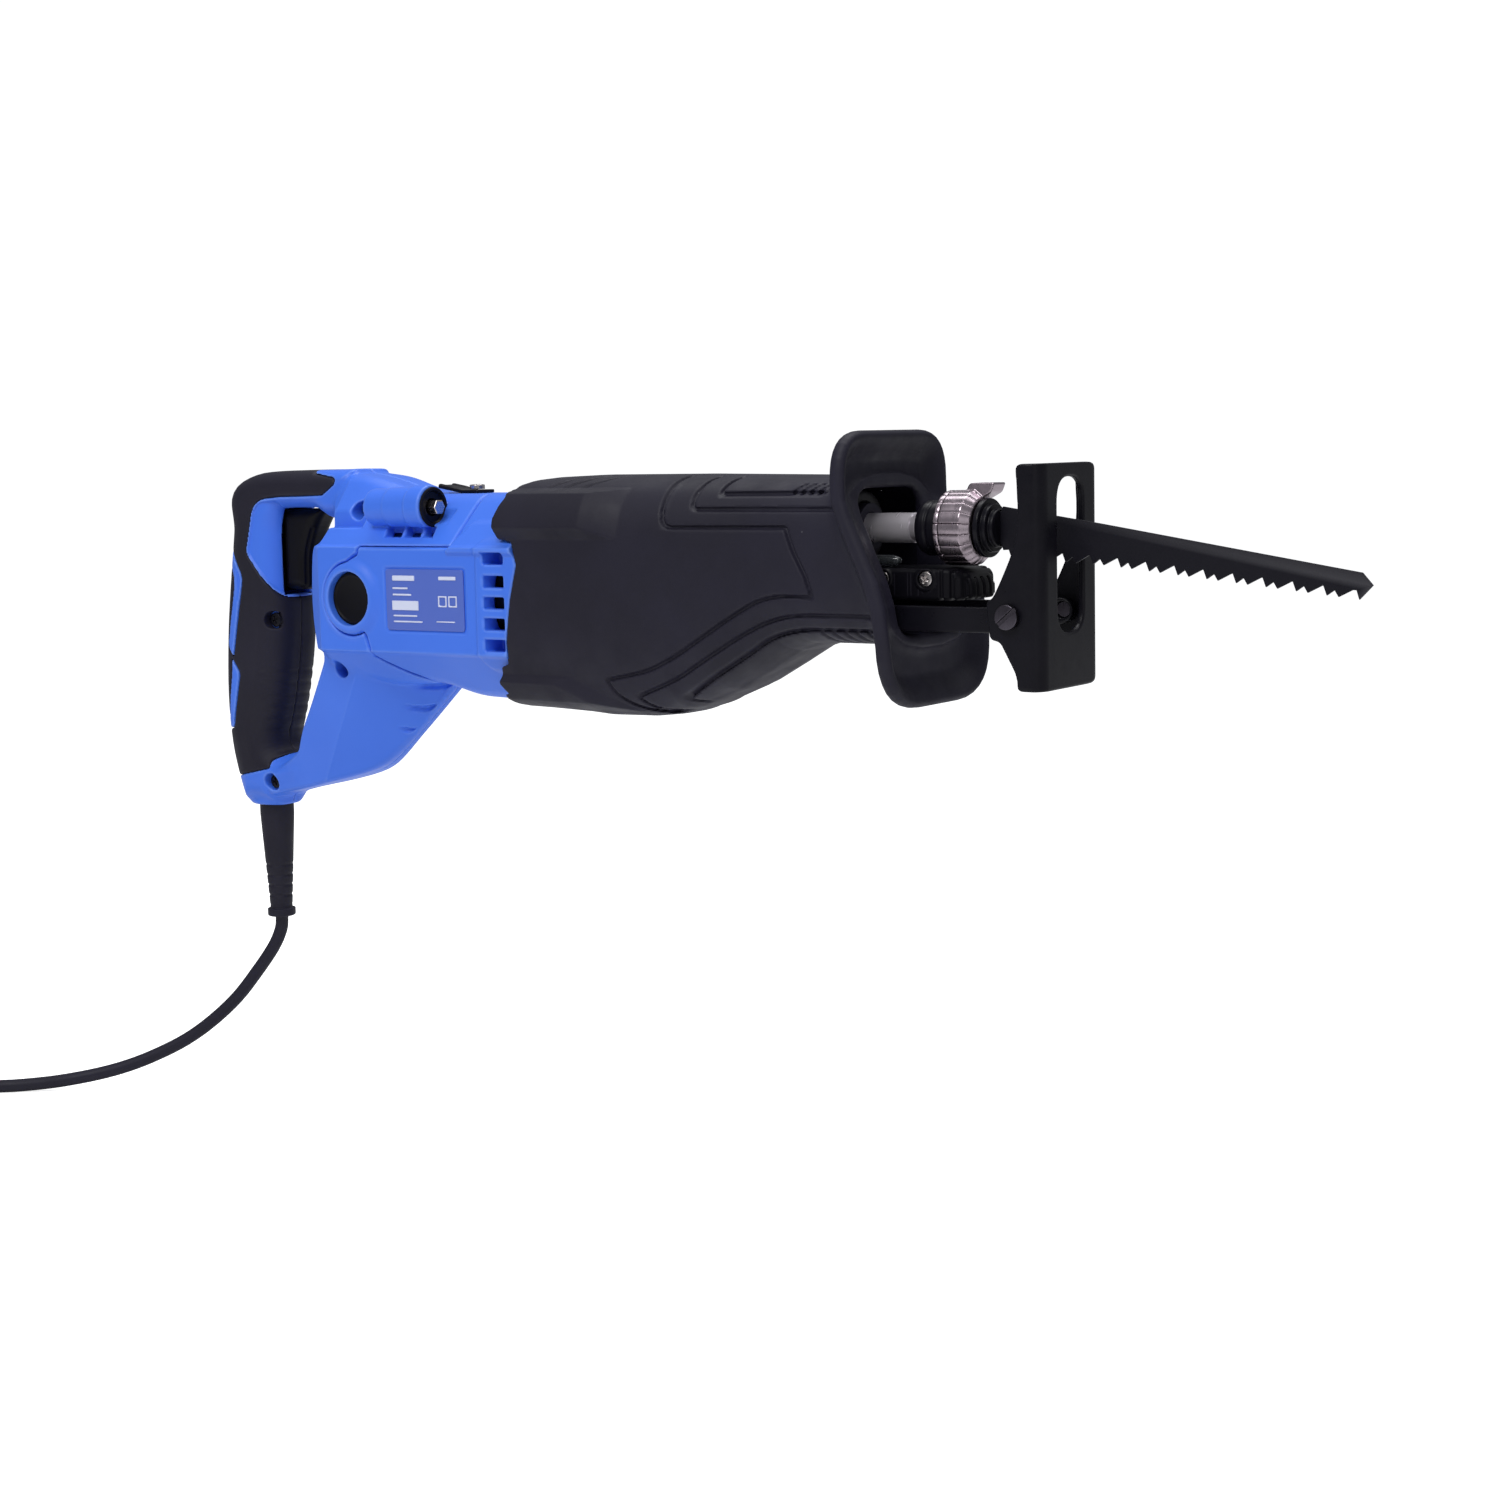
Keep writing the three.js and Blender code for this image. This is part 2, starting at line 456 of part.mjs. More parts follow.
// ---- Shoe -------------------------------------------------------------------------------------
function shoe() {
  const side = [
    [SHOE_X - 11, SHOE_HIGH, 3], [SHOE_X, SHOE_HIGH, 0.5], [SHOE_X, SHOE_LOW, 0.5], [SHOE_X - 11, SHOE_LOW, 3],
    [SHOE_X - 11, 5, 3], [407, 19, 4], [406, 34, 4], [SHOE_X - 12, 56, 5],
  ];
  const full = slab(side, -SHOE_HALF, SHOE_HALF);
  const plate = (half, low, high, r) => [[-half, low, r], [half, low, r], [half, high, r], [-half, high, r]];
  const bent = common(full, prism(plate(SHOE_HALF, SHOE_LOW, SHOE_HIGH, 4), 400, SHOE_X + 1));
  return cut(bent, block(390, SHOE_X - SHEET, SHEET - SHOE_HALF, SHOE_HALF - SHEET, -20, 100),
    prism(plate(SLOT_HALF, SLOT_LOW, SLOT_HIGH, 9), SHOE_X - 10, SHOE_X + 1),
    bar('y', -40, 40, PIVOT_X, PIVOT_Z, PIVOT_BORE, 20));
}
add('shoe', shoe(), BLACK_STEEL);

const armOutline = [[304, 20.5, 1], [304, 31, 1], [410, 31, 3], [421, 33, 5], [421, 22, 5], [410, 20.5, 3]];
add('shoe_bracket', cut(joined(slab(armOutline, -ARM_OUT, -ARM_IN), slab(armOutline, ARM_IN, ARM_OUT),
  block(304, 334, -ARM_OUT, ARM_OUT, 20.5, 23)),
bar('y', -40, 40, PIVOT_X, PIVOT_Z, PIVOT_BORE, 20)), BLACK_STEEL);
SIDES.forEach(([name, side]) => {
  const stem = bar('y', ...mirrored(ARM_IN + 1.3, SHOE_HALF + 0.5, side), PIVOT_X, PIVOT_Z, 3, 16);
  const head = bar('y', ...mirrored(SHOE_HALF + GAP, SHOE_HALF + 2.6, side), PIVOT_X, PIVOT_Z, 4.8, 24);
  const slot = block(PIVOT_X - 6, PIVOT_X + 6, ...mirrored(SHOE_HALF + 1.6, SHOE_HALF + 4, side), -0.7, 0.7)
    .translate(-PIVOT_X, 0, 0).rotateY(-0.7).translate(PIVOT_X, 0, PIVOT_Z);
  add(`shoe_pivot_screw_${name}`, cut(joined(stem, head), slot), STEEL);
});

// ---- Rubber boot with the hand guard ----------------------------------------------------------
// Sections along X: height of the bottom and the top, half width.
const BOOT = [[168, -17.5, 77, 41], [178, -18.5, 80, 42], [204, -20, 82.5, 42.5], [226, -20, 82.5, 42.5],
  [250, -17, 82.3, 42], [276, -9, 82, 40], [300, 3, 81.5, 38], [318, 11, 81, 36], [346, 12.5, 80.5, 35]];
const BOOT_POWER = 0.42; // lower is boxier
const BOOT_SIDES = 24;
function bootRing([x, low, high, half], shrink) {
  const [cz, h] = [(low + high) / 2, (high - low) / 2 - shrink];
  const w = half - shrink;
  return [...Array(BOOT_SIDES)].map((_, i) => {
    const a = (i * 2 * Math.PI) / BOOT_SIDES;
    const bulge = (v) => Math.sign(v) * Math.abs(v) ** BOOT_POWER;
    return [x, w * bulge(Math.cos(a)), cz + h * bulge(Math.sin(a))];
  });
}
const stretch = (rings) => rings.map((ring, i) => {
  const shift = { 0: -2, [rings.length - 1]: 2 }[i] ?? 0;
  return ring.map(([x, y, z]) => [x + shift, y, z]);
});
const bootOuter = loft(BOOT.map((s) => bootRing(s, 0)));
const bootInner = loft(stretch(BOOT.map((s) => bootRing(s, 3))));

// The guard is a plate that steps forward below the plunger, with a raised rim.
const GUARD_HALF = 42;
const guardPath = (offset) => [
  [347 + offset, 99], [347 + offset, 72, 12], [361 + offset, 40, 16], [365.6 + offset, 22, 10],
  [366.4 + offset, -11],
];
const guardStrip = (from, to) => [...guardPath(from), ...guardPath(to).reverse()];
const guardFace = (m) => {
  const half = GUARD_HALF - m;
  return [[-half, -11 + m, 20], [half, -11 + m, 20], [half, 99 - m, 16], [-half, 99 - m, 16]];
};
function boot() {
  const plate = common(slab(guardStrip(-3, 6), -GUARD_HALF, GUARD_HALF), prism(guardFace(0), 330, 390));
  const dish = common(slab(guardStrip(1.5, 12), -GUARD_HALF, GUARD_HALF), prism(guardFace(6), 330, 390));
  const guard = cut(plate, dish);
  const opening = prism([[-26, 16, 4], [26, 16, 4], [26, 76, 10], [-26, 76, 10]], 335, 380);
  const neck = loft([bootRing([340, 12.5, 80.5, 35], 0), bootRing([352, 12.5, 80.5, 35], 0)]);
  const neckSide = [[338, 99], [345, 99], [345, 74, 14], [351, 56, 16], [356, 40, 2], [356, 0], [338, 0]];
  const neckPart = common(neck, slab(neckSide, -50, 50));
  const motorRoom = prism(flangeSection(0.5), 150, HOUSING_FRONT + GAP);
  return cut(joined(bootOuter, guard, neckPart), bootInner, opening, motorRoom);
}
add('front_boot', boot(), BLACK_RUBBER);

// ---- Hex key and hanging hook -----------------------------------------------------------------
add('hex_key', bar('x', TUBE.back + 2.5, TUBE.front + 5, TUBE.y, TUBE.z, 3.2, 6), STEEL);
const clipOutline = [
  [116, 79.4, 0.5], [130, 76.9, 2], [139, 76.9, 0.5], [139, 75.3, 0.5], [130, 75.3, 2], [116, 77.8, 0.5],
];
const CLIP_SCREW_X = 134;
add('top_clip', cut(slab(clipOutline, -6, 6), bar('z', 70, 80, CLIP_SCREW_X, 0, 2.3, 12)), BLACK_STEEL);
const clipScrew = [[0, 77.7], [3.4, 77.7], [3, 78.6], [1.6, 79.4], [0, 79.6]];
add('top_clip_screw', turned('z', clipScrew, CLIP_SCREW_X, 0, 16), STEEL);

// ---- Mains cord -------------------------------------------------------------------------------
// The free stretch leaves the sleeve downwards, bends to the floor and runs to the coil.
const route = [
  [-1, 0, -128.4], [-1.6, -0.5, -135], [-5, -3, -144], [-12, -8.5, -156.4], [-20, -14.5, -168.5],
  [-30, -22, -179.6], [-40.5, -29.5, -188.4], [-52, -38, -195.3], [-63, -46.4, -200.4], [-75, -55.5, -204.2],
  [-90, -67, -207.2], [-105, -78.4, -208.7], [-117, -87.5, -208.9], [-133, -99.6, -208.9], [-149, -111.6, -208.9],
];
const path = new THREE.CatmullRomCurve3(route.map((p) => new THREE.Vector3(...p)));
const wireSection = new THREE.Shape();
wireSection.absarc(0, 0, CORD_R, 0, 2 * Math.PI);
add('cord', new THREE.ExtrudeGeometry(wireSection, { steps: 18, curveSegments: 4, extrudePath: path }), BLACK_RUBBER);

// The rest is wound into a coil of three turns side by side, four high, on the floor beyond the free stretch.
const COIL = { x: -193.2, y: -93.7, inner: 24.6, outer: 43.7, low: FLOOR_Z + 1.8, high: FLOOR_Z + 27 };
const coilSection = [
  [COIL.inner, COIL.low], [COIL.outer, COIL.low], [COIL.outer, COIL.high], [COIL.inner, COIL.high],
];
add('cord_coil', turned('z', coilSection, COIL.x, COIL.y, 32), BLACK_RUBBER);

// A strap round the coil's section, and the plug lying on top of the coil.
const COIL_MID = (COIL.inner + COIL.outer) / 2;
const onCoil = (shape, angle) => shape.rotateZ(angle).translate(COIL.x, COIL.y, 0);
const [TIE_IN, TIE_OUT] = [COIL.inner - 2.4, COIL.outer + 1.6];
const tie = cut(block(TIE_IN, TIE_OUT, -5, 5, FLOOR_Z + 0.2, COIL.high + 1.6),
  block(TIE_IN + 1.3, TIE_OUT - 1.3, -6, 6, COIL.low - GAP, COIL.high + GAP));
add('cord_tie', onCoil(surface(tie), -0.6), BLACK_RUBBER);

const PLUG = { half: 17.5, thick: 22, length: 36, pin: 19, pinGap: 9.5, pinR: 2.4 };
const plugBase = COIL.high + GAP;
const plugOutline = [
  [-12, -5, 1], [0, -9, 4], [PLUG.length, -PLUG.half, 3], [PLUG.length, PLUG.half, 3], [0, 9, 4], [-12, 5, 1],
];
const plugBody = extruded(outline(plugOutline), PLUG.thick).translate(0, 0, plugBase);
const plugPins = [-1, 1].map((side) =>
  bar('x', PLUG.length - 1, PLUG.length + PLUG.pin, side * PLUG.pinGap, plugBase + PLUG.thick / 2, PLUG.pinR, 12));
const plug = surface(joined(plugBody, ...plugPins)).translate(-14, 0, 0);
plug.rotateZ(-Math.PI / 2).translate(COIL_MID, 0, 0);
add('plug', onCoil(plug, 2.6), BLACK_PLASTIC);

export default saw;
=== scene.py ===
"""Looks of the reciprocating saw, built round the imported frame.

Shapes are worked out in millimetres and meshes are in metres.
"""
import math

import bmesh
import bpy
import numpy as np
from mathutils import Matrix, Vector


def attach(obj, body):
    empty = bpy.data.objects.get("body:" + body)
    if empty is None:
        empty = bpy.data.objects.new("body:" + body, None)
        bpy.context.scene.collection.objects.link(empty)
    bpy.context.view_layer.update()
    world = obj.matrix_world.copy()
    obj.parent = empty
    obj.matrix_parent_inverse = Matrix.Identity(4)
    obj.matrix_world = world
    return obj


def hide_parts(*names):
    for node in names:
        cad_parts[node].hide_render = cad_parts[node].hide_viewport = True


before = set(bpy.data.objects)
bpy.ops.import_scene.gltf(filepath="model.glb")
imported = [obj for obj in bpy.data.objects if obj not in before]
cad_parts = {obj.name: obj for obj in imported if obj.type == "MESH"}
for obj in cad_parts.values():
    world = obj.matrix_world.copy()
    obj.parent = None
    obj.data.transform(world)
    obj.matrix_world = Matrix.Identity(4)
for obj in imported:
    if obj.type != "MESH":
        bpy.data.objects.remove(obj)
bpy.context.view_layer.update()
MM = 0.001
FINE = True

# ---- Dimensions shared by several pieces ---------------------------------------------------------
PLUNGER_Z = 60.0
MOTOR_Z = 30.0
FLOOR_Z = -212.0
CORD_R = 3.1
CAP = (91.5, 30.0)  # brush axis in X and Z
KEY_Y, KEY_Z = -28.0, 70.0  # axis of the hex key and its holder
PIVOT = (416.4, 27.5)  # shoe pivot in X and Z
GEAR_X = 246.0  # axis of the crank gear
CORD_X = -1.0  # where the cord leaves the grip
CLIP_SCREW_X = 134.0
SHOE_HALF = 25.0  # half width of the shoe
BAND_HALF = 39.0  # half width of the motor section's flat sides
SHOULDER_LOW, SHOULDER_HIGH = 6.5, 53.0
COVER = 2.2  # thickness of the soft grip cover
GAP = 0.3


# ---- Fields: solids as signed distances on a grid ------------------------------------------------
class Grid:
    """A box of sample points; x, y and z broadcast against each other."""

    def __init__(self, low, high, fine_step, quick_step):
        step = fine_step if FINE else quick_step
        self.low = np.array(low, float)
        self.step = step
        counts = [int(math.ceil((b - a) / step)) + 1 for a, b in zip(low, high, strict=True)]
        axes = [(a + step * np.arange(n)).astype(np.float32) for a, n in zip(low, counts, strict=True)]
        self.x = axes[0][:, None, None]
        self.y = axes[1][None, :, None]
        self.z = axes[2][None, None, :]
        self.xyz = (self.x, self.y, self.z)


def union(a, b, soft=0.0):
    if soft <= 0:
        return np.minimum(a, b)
    h = np.clip(0.5 + 0.5 * (b - a) / soft, 0, 1)
    return b + (a - b) * h - soft * h * (1 - h)


def meet(a, b, radius=0.0):
    """What is in both, with the new edge rounded to a radius."""
    if np.ndim(radius) == 0 and radius <= 0:
        return np.maximum(a, b)
    inner = np.minimum(np.maximum(a + radius, b + radius), 0)
    outer = np.hypot(np.maximum(a + radius, 0), np.maximum(b + radius, 0))
    return inner + outer - radius


def cut(a, b, radius=0.0):
    return meet(a, -b, radius)


def smooth(edge0, edge1, value):
    t = np.clip((value - edge0) / (edge1 - edge0), 0, 1)
    return t * t * (3 - 2 * t)


def rounded(corners, closed=True, steps=5):
    """Points of an outline whose corners (a, b, radius) are rounded."""
    points = []
    count = len(corners)
    for i, corner in enumerate(corners):
        at = np.array(corner[:2], float)
        radius = corner[2] if len(corner) > 2 else 0
        if radius <= 0 or (not closed and i in (0, count - 1)):
            points.append(at)
            continue
        before = np.array(corners[i - 1][:2], float) - at
        after = np.array(corners[(i + 1) % count][:2], float) - at
        start = at + before * min(radius / np.linalg.norm(before), 0.49)
        end = at + after * min(radius / np.linalg.norm(after), 0.49)
        for t in np.linspace(0, 1, steps):
            points.append((1 - t) ** 2 * start + 2 * t * (1 - t) * at + t * t * end)
    return np.array(points)


def stroke(points, a, b, closed=False):
    """Distance from each place (a, b) to a line through points, and how far along the line it is, 0 to 1."""
    points = np.asarray(points, float)
    pairs = list(zip(points, np.roll(points, -1, 0) if closed else points[1:], strict=False))
    total = sum(np.linalg.norm(q - p) for p, q in pairs)
    best, share, done = None, None, 0.0
    for p, q in pairs:
        edge = q - p
        length = max(np.linalg.norm(edge), 1e-6)
        t = np.clip(((a - p[0]) * edge[0] + (b - p[1]) * edge[1]) / length**2, 0, 1)
        d = np.hypot(a - p[0] - t * edge[0], b - p[1] - t * edge[1])
        s = (done + t * length) / total
        if best is None:
            best, share = d, s
        else:
            share = np.where(d < best, s, share)
            best = np.minimum(best, d)
        done += length
    return best.astype(np.float32), share.astype(np.float32)


def region(points, a, b):
    """Signed distance to a closed outline in the plane of a and b, negative inside."""
    points = np.asarray(points, float)
    distance, _ = stroke(points, a, b, closed=True)
    inside = np.zeros(np.broadcast(a, b).shape, bool)
    for p, q in zip(points, np.roll(points, -1, 0), strict=True):
        if p[1] == q[1]:
            continue
        crosses = (p[1] <= b) != (q[1] <= b)
        inside ^= crosses & (a < (q[0] - p[0]) * (b - p[1]) / (q[1] - p[1]) + p[0])
    return np.where(inside, -distance, distance)


def rod(a, b, radius):
    return np.hypot(a, b) - radius


def span(value, low, high):
    return np.maximum(low - value, value - high)


def along(table, x):
    """The value at x on straight lines between a table's (place, value) points."""
    return np.interp(x, *np.array(table, float).T).astype(np.float32)


CORNERS = [(i, j, k) for i in (0, 1) for j in (0, 1) for k in (0, 1)]
EDGES = [(p, q) for p in CORNERS for q in CORNERS
         if sum(q) - sum(p) == 1 and sum(np.abs(np.subtract(p, q))) == 1]


def skin_of(field, grid):
    """Vertices and quads of the surface where the field is zero, one vertex in each cell that it crosses."""
    field = np.ascontiguousarray(field, np.float32)
    inside = field < 0
    size = np.array(field.shape) - 1
    count = np.zeros(size, np.uint8)
    for i, j, k in CORNERS:
        count += inside[i : size[0] + i, j : size[1] + j, k : size[2] + k]
    active = (count > 0) & (count < 8)
    cells = np.argwhere(active)
    number = np.full(size, -1, np.int32)
    number[active] = np.arange(len(cells))
    total = np.zeros((len(cells), 3))
    hits = np.zeros(len(cells))
    for p, q in EDGES:
        fp = field[cells[:, 0] + p[0], cells[:, 1] + p[1], cells[:, 2] + p[2]]
        fq = field[cells[:, 0] + q[0], cells[:, 1] + q[1], cells[:, 2] + q[2]]
        crossed = (fp < 0) != (fq < 0)
        t = np.where(crossed, fp / np.where(crossed, fp - fq, 1), 0)[:, None]
        total += np.where(crossed[:, None], np.array(p) + t * (np.array(q) - np.array(p)), 0)
        hits += crossed
    vertices = grid.low + grid.step * (cells + total / hits[:, None])
    quads = []
    for axis in range(3):
        u, v = (axis + 1) % 3, (axis + 2) % 3
        low = [slice(None)] * 3
        high = [slice(None)] * 3
        low[axis], high[axis] = slice(0, -1), slice(1, None)
        changed = inside[tuple(low)] != inside[tuple(high)]
        places = np.argwhere(changed)
        places = places[(places[:, u] > 0) & (places[:, v] > 0)]
        places = places[(places[:, u] < size[u]) & (places[:, v] < size[v])]
        starts_inside = inside[tuple(places.T)]
        ring = []
        for du, dv in ((0, 0), (1, 0), (1, 1), (0, 1)):
            cell = places.copy()
            cell[:, u] -= du
            cell[:, v] -= dv
            ring.append(number[tuple(cell.T)])
        ring = np.stack(ring, 1)
        ring[~starts_inside] = ring[~starts_inside][:, ::-1]
        quads.append(ring)
    return vertices, np.concatenate(quads)


# ---- Meshes and pieces ---------------------------------------------------------------------------
def link(name, mesh, look, body, nodes=()):
    """Puts a mesh in the scene with its look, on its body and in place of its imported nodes."""
    material, slot = look
    obj = bpy.data.objects.new(name, mesh)
    bpy.context.scene.collection.objects.link(obj)
    obj.data.materials.append(material)
    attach(obj, body)
    if nodes:
        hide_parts(*nodes)
    return obj


def mesh_from(name, vertices, faces):
    """A mesh from millimetre vertices and faces of one size each."""
    mesh = bpy.data.meshes.new(name)
    vertices = np.asarray(vertices, np.float32) * MM
    faces = np.asarray(faces, np.int32)
    mesh.vertices.add(len(vertices))
    mesh.vertices.foreach_set("co", vertices.ravel())
    mesh.loops.add(faces.size)
    mesh.loops.foreach_set("vertex_index", faces.ravel())
    mesh.polygons.add(len(faces))
    mesh.polygons.foreach_set("loop_start", np.arange(0, faces.size, faces.shape[1], dtype=np.int32))
    mesh.update(calc_edges=True)
    mesh.validate()
    mesh.shade_smooth()
    return mesh


def moulded(name, field, grid, look, body, nodes=()):
    link(name, mesh_from(name, *skin_of(field, grid)), look, body, nodes)


def lathed(name, profile, centre, axis, look, body, nodes=(), sides=96):
    """A turned piece about X or Y: profile is (radius, place) along the axis."""
    profile = np.array(profile, float)
    angle = np.linspace(0, 2 * math.pi, sides, endpoint=False)
    rings = []
    for radius, place in profile:
        r = np.full(sides, max(radius, 1e-4))
        rings.append(np.stack([r * np.cos(angle), r * np.sin(angle), np.full(sides, place)], 1))
    points = np.concatenate(rings)
    if axis == "x":
        points = points[:, [2, 0, 1]] + np.array([0, *centre])
    else:
        points = points[:, [1, 2, 0]] + np.array([centre[0], 0, centre[1]])
    faces = []
    here = np.arange(sides)
    following = (here + 1) % sides
    for k in range(len(profile) - 1):
        a, b = k * sides, (k + 1) * sides
        faces.append(np.stack([a + here, a + following, b + following, b + here], 1))
    if profile[0][0] > 0:
        a, b = (len(profile) - 1) * sides, 0
        faces.append(np.stack([a + here, a + following, b + following, b + here], 1))
    mesh = mesh_from(name, points, np.concatenate(faces))
    work = bmesh.new()
    work.from_mesh(mesh)
    bmesh.ops.remove_doubles(work, verts=work.verts, dist=1e-3 * MM)
    bmesh.ops.recalc_face_normals(work, faces=work.faces)
    work.to_mesh(mesh)
    work.free()
    mesh.shade_smooth()
    mesh.set_sharp_from_angle(angle=math.radians(32))
    link(name, mesh, look, body, nodes)


def upright_plate(name, outline, thickness, bevel, look, body, nodes):
    """A flat piece centred on the plane of X and Z, with a fine bevel round both faces."""
    work = bmesh.new()
    face = work.faces.new([work.verts.new((x, thickness / 2, z)) for x, z in outline])
    grown = bmesh.ops.extrude_face_region(work, geom=[face])
    for vertex in (v for v in grown["geom"] if isinstance(v, bmesh.types.BMVert)):
        vertex.co.y -= thickness
    bmesh.ops.recalc_face_normals(work, faces=work.faces)
    rim = [e for e in work.edges if len(e.link_faces) == 2 and e.calc_face_angle(0) > 1.2]
    rim = [e for e in rim if any(len(f.verts) > 4 for f in e.link_faces)]
    bmesh.ops.bevel(work, geom=rim, offset=bevel, segments=2, affect="EDGES", clamp_overlap=True)
    bmesh.ops.scale(work, vec=(MM, MM, MM), verts=work.verts)
    mesh = bpy.data.meshes.new(name)
    work.to_mesh(mesh)
    work.free()
    link(name, mesh, look, body, nodes)


# ---- Materials -----------------------------------------------------------------------------------
def srgb(r, g, b):
    return [c / 12.92 if c <= 0.04045 else ((c + 0.055) / 1.055) ** 2.4 for c in (r / 255, g / 255, b / 255)]


class Look:
    """A Principled material with helpers for procedural detail in object space."""

    def __init__(self, name, colour, roughness, metallic=0.0, **sockets):
        self.material = bpy.data.materials.new(name)
        self.material.use_nodes = True
        self.nodes = self.material.node_tree.nodes
        self.links = self.material.node_tree.links
        self.shader = self.nodes["Principled BSDF"]
        self.shader.inputs["Base Color"].default_value = (*colour, 1)
        self.shader.inputs["Roughness"].default_value = roughness
        self.shader.inputs["Metallic"].default_value = metallic
        for socket, value in sockets.items():
            self.shader.inputs[socket.replace("_", " ")].default_value = value
        self.place = self.nodes.new("ShaderNodeTexCoord").outputs["Object"]
        self.height = None

    def texture(self, kind, scale, stretch=(1, 1, 1)):
        mapping = self.nodes.new("ShaderNodeMapping")
        mapping.inputs["Scale"].default_value = stretch
        self.links.new(self.place, mapping.inputs["Vector"])
        texture = self.nodes.new(kind)
        texture.inputs["Scale"].default_value = scale
        self.links.new(mapping.outputs["Vector"], texture.inputs["Vector"])
        return texture

    def noise(self, scale, detail=3.0, stretch=(1, 1, 1)):
        texture = self.texture("ShaderNodeTexNoise", scale, stretch)
        texture.inputs["Detail"].default_value = detail
        texture.inputs["Roughness"].default_value = 0.55
        return texture.outputs["Fac"]

    def cells(self, scale):
        return self.texture("ShaderNodeTexVoronoi", scale).outputs["Distance"]

    def ranged(self, value, low, high, to_low=0.0, to_high=1.0):
        node = self.nodes.new("ShaderNodeMapRange")
        limits = {"From Min": low, "From Max": high, "To Min": to_low, "To Max": to_high}
        for socket, number in limits.items():
            node.inputs[socket].default_value = number
        self.links.new(value, node.inputs["Value"])
        return node.outputs["Result"]

    def maths(self, kind, a, b):
        node = self.nodes.new("ShaderNodeMath")
        node.operation = kind
        for socket, value in zip(node.inputs, (a, b), strict=False):
            if isinstance(value, (int, float)):
                socket.default_value = value
            else:
                self.links.new(value, socket)
        return node.outputs["Value"]

    def edges(self, low, high, amount):
        """Up to an amount on edges that stand out, for low under high, or in creases."""
        pointy = self.nodes.new("ShaderNodeNewGeometry").outputs["Pointiness"]
        return self.maths("MULTIPLY", self.ranged(pointy, low, high), amount)

    def tint(self, colour, amount):
        """Mixes a colour over the base colour by an amount that varies over the surface."""
        socket = self.shader.inputs["Base Color"]
        mix = self.nodes.new("ShaderNodeMix")
        mix.data_type = "RGBA"
        if socket.is_linked:
            self.links.new(socket.links[0].from_socket, mix.inputs["A"])
        else:
            mix.inputs["A"].default_value = socket.default_value
        mix.inputs["B"].default_value = (*colour, 1)
        self.links.new(amount, mix.inputs["Factor"])
        self.links.new(mix.outputs["Result"], socket)
        return self

    def rough(self, value, low, high):
        self.links.new(self.ranged(value, 0.3, 0.7, low, high), self.shader.inputs["Roughness"])
        return self

    def bump(self, value, depth, strength=1.0):
        """Relief of a depth in millimetres."""
        node = self.nodes.new("ShaderNodeBump")
        node.inputs["Strength"].default_value = strength
        node.inputs["Distance"].default_value = depth * MM
        self.links.new(value, node.inputs["Height"])
        if self.height is not None:
            self.links.new(self.height, node.inputs["Normal"])
        self.height = node.outputs["Normal"]
        self.links.new(self.height, self.shader.inputs["Normal"])
        return self

    def finish(self, patches, low, high, grain, depth, strength):
        """Uneven gloss between two roughnesses, and a fine grain; patches and grain are noises."""
        return self.rough(self.noise(*patches), low, high).bump(self.noise(*grain), depth, strength).material


def blue_plastic():
    look = Look("blue_plastic", srgb(64, 116, 232), 0.4, Specular_IOR_Level=0.36)
    look.tint(srgb(70, 122, 238), look.ranged(look.noise(18, 2), 0.35, 0.7, 0, 0.6))
    # painted highlight: a lighter blue along edges that stand out
    look.tint(srgb(132, 170, 250), look.edges(0.51, 0.56, 0.45))
    return look.finish((60, 4), 0.36, 0.46, (1500, 2), 0.03, 0.5)


def rubber():
    """Soft black with a bluish cast, a few specks of dust and a painted highlight on edges that stand out."""
    look = Look("soft_rubber", srgb(25, 23, 37), 0.58, Specular_IOR_Level=0.28)
    look.tint(srgb(33, 31, 48), look.ranged(look.noise(25, 3), 0.4, 0.7, 0, 0.6))
    specks = look.ranged(look.cells(130), 0.06, 0.03)
    dust = look.maths("MULTIPLY", specks, look.ranged(look.noise(30, 2), 0.55, 0.62))
    look.tint(srgb(96, 95, 102), look.maths("MULTIPLY", dust, 0.5))
    # painted highlight: a lighter grey along edges that stand out
    look.tint(srgb(62, 60, 70), look.edges(0.52, 0.6, 0.35))
    return look.finish((90, 4), 0.5, 0.66, (1100, 2), 0.06, 0.6)


def black_plastic():
    look = Look("black_plastic", srgb(12, 11, 17), 0.42, Specular_IOR_Level=0.13)
    # painted highlight: a lighter grey along edges that stand out
    look.tint(srgb(40, 38, 48), look.edges(0.52, 0.6, 0.3))
    return look.finish((70, 3), 0.36, 0.5, (1300, 2), 0.03, 0.5)


def bright_steel():
    """Turned steel with fine lines round it."""
    look = Look("bright_steel", srgb(196, 190, 188), 0.25, 1.0)
    lines = look.noise(2600, 2, (0.05, 1, 1))
    look.tint(srgb(150, 145, 146), look.ranged(look.noise(160, 3), 0.5, 0.8, 0, 0.25))
    return look.rough(lines, 0.16, 0.34).bump(lines, 0.004, 0.4).material


def ground_steel(name, colour, low, high, metallic=1.0):
    """Steel ground along its length, with painted shade in its creases."""
    look = Look(name, srgb(*colour), 0.3, metallic)
    rings = look.noise(500, 2, (1, 0.15, 0.15))
    # painted shade: darker in creases
    look.tint(srgb(60, 56, 60), look.edges(0.49, 0.44, 0.6))
    return look.rough(rings, low, high).bump(rings, 0.001, 0.15).material


def black_steel(name, colour, roughness):
    """Painted or blackened steel with a painted highlight on edges that stand out."""
    look = Look(name, srgb(*colour), roughness, Specular_IOR_Level=0.16)
    look.tint(srgb(20, 19, 27), look.ranged(look.noise(40, 4), 0.45, 0.7, 0, 0.7))
    # painted highlight: a lighter grey along edges that stand out
    look.tint(srgb(96, 95, 100), look.edges(0.53, 0.62, 0.35))
    return look.finish((120, 4), roughness - 0.08, roughness + 0.1, (900, 3), 0.02, 0.5)


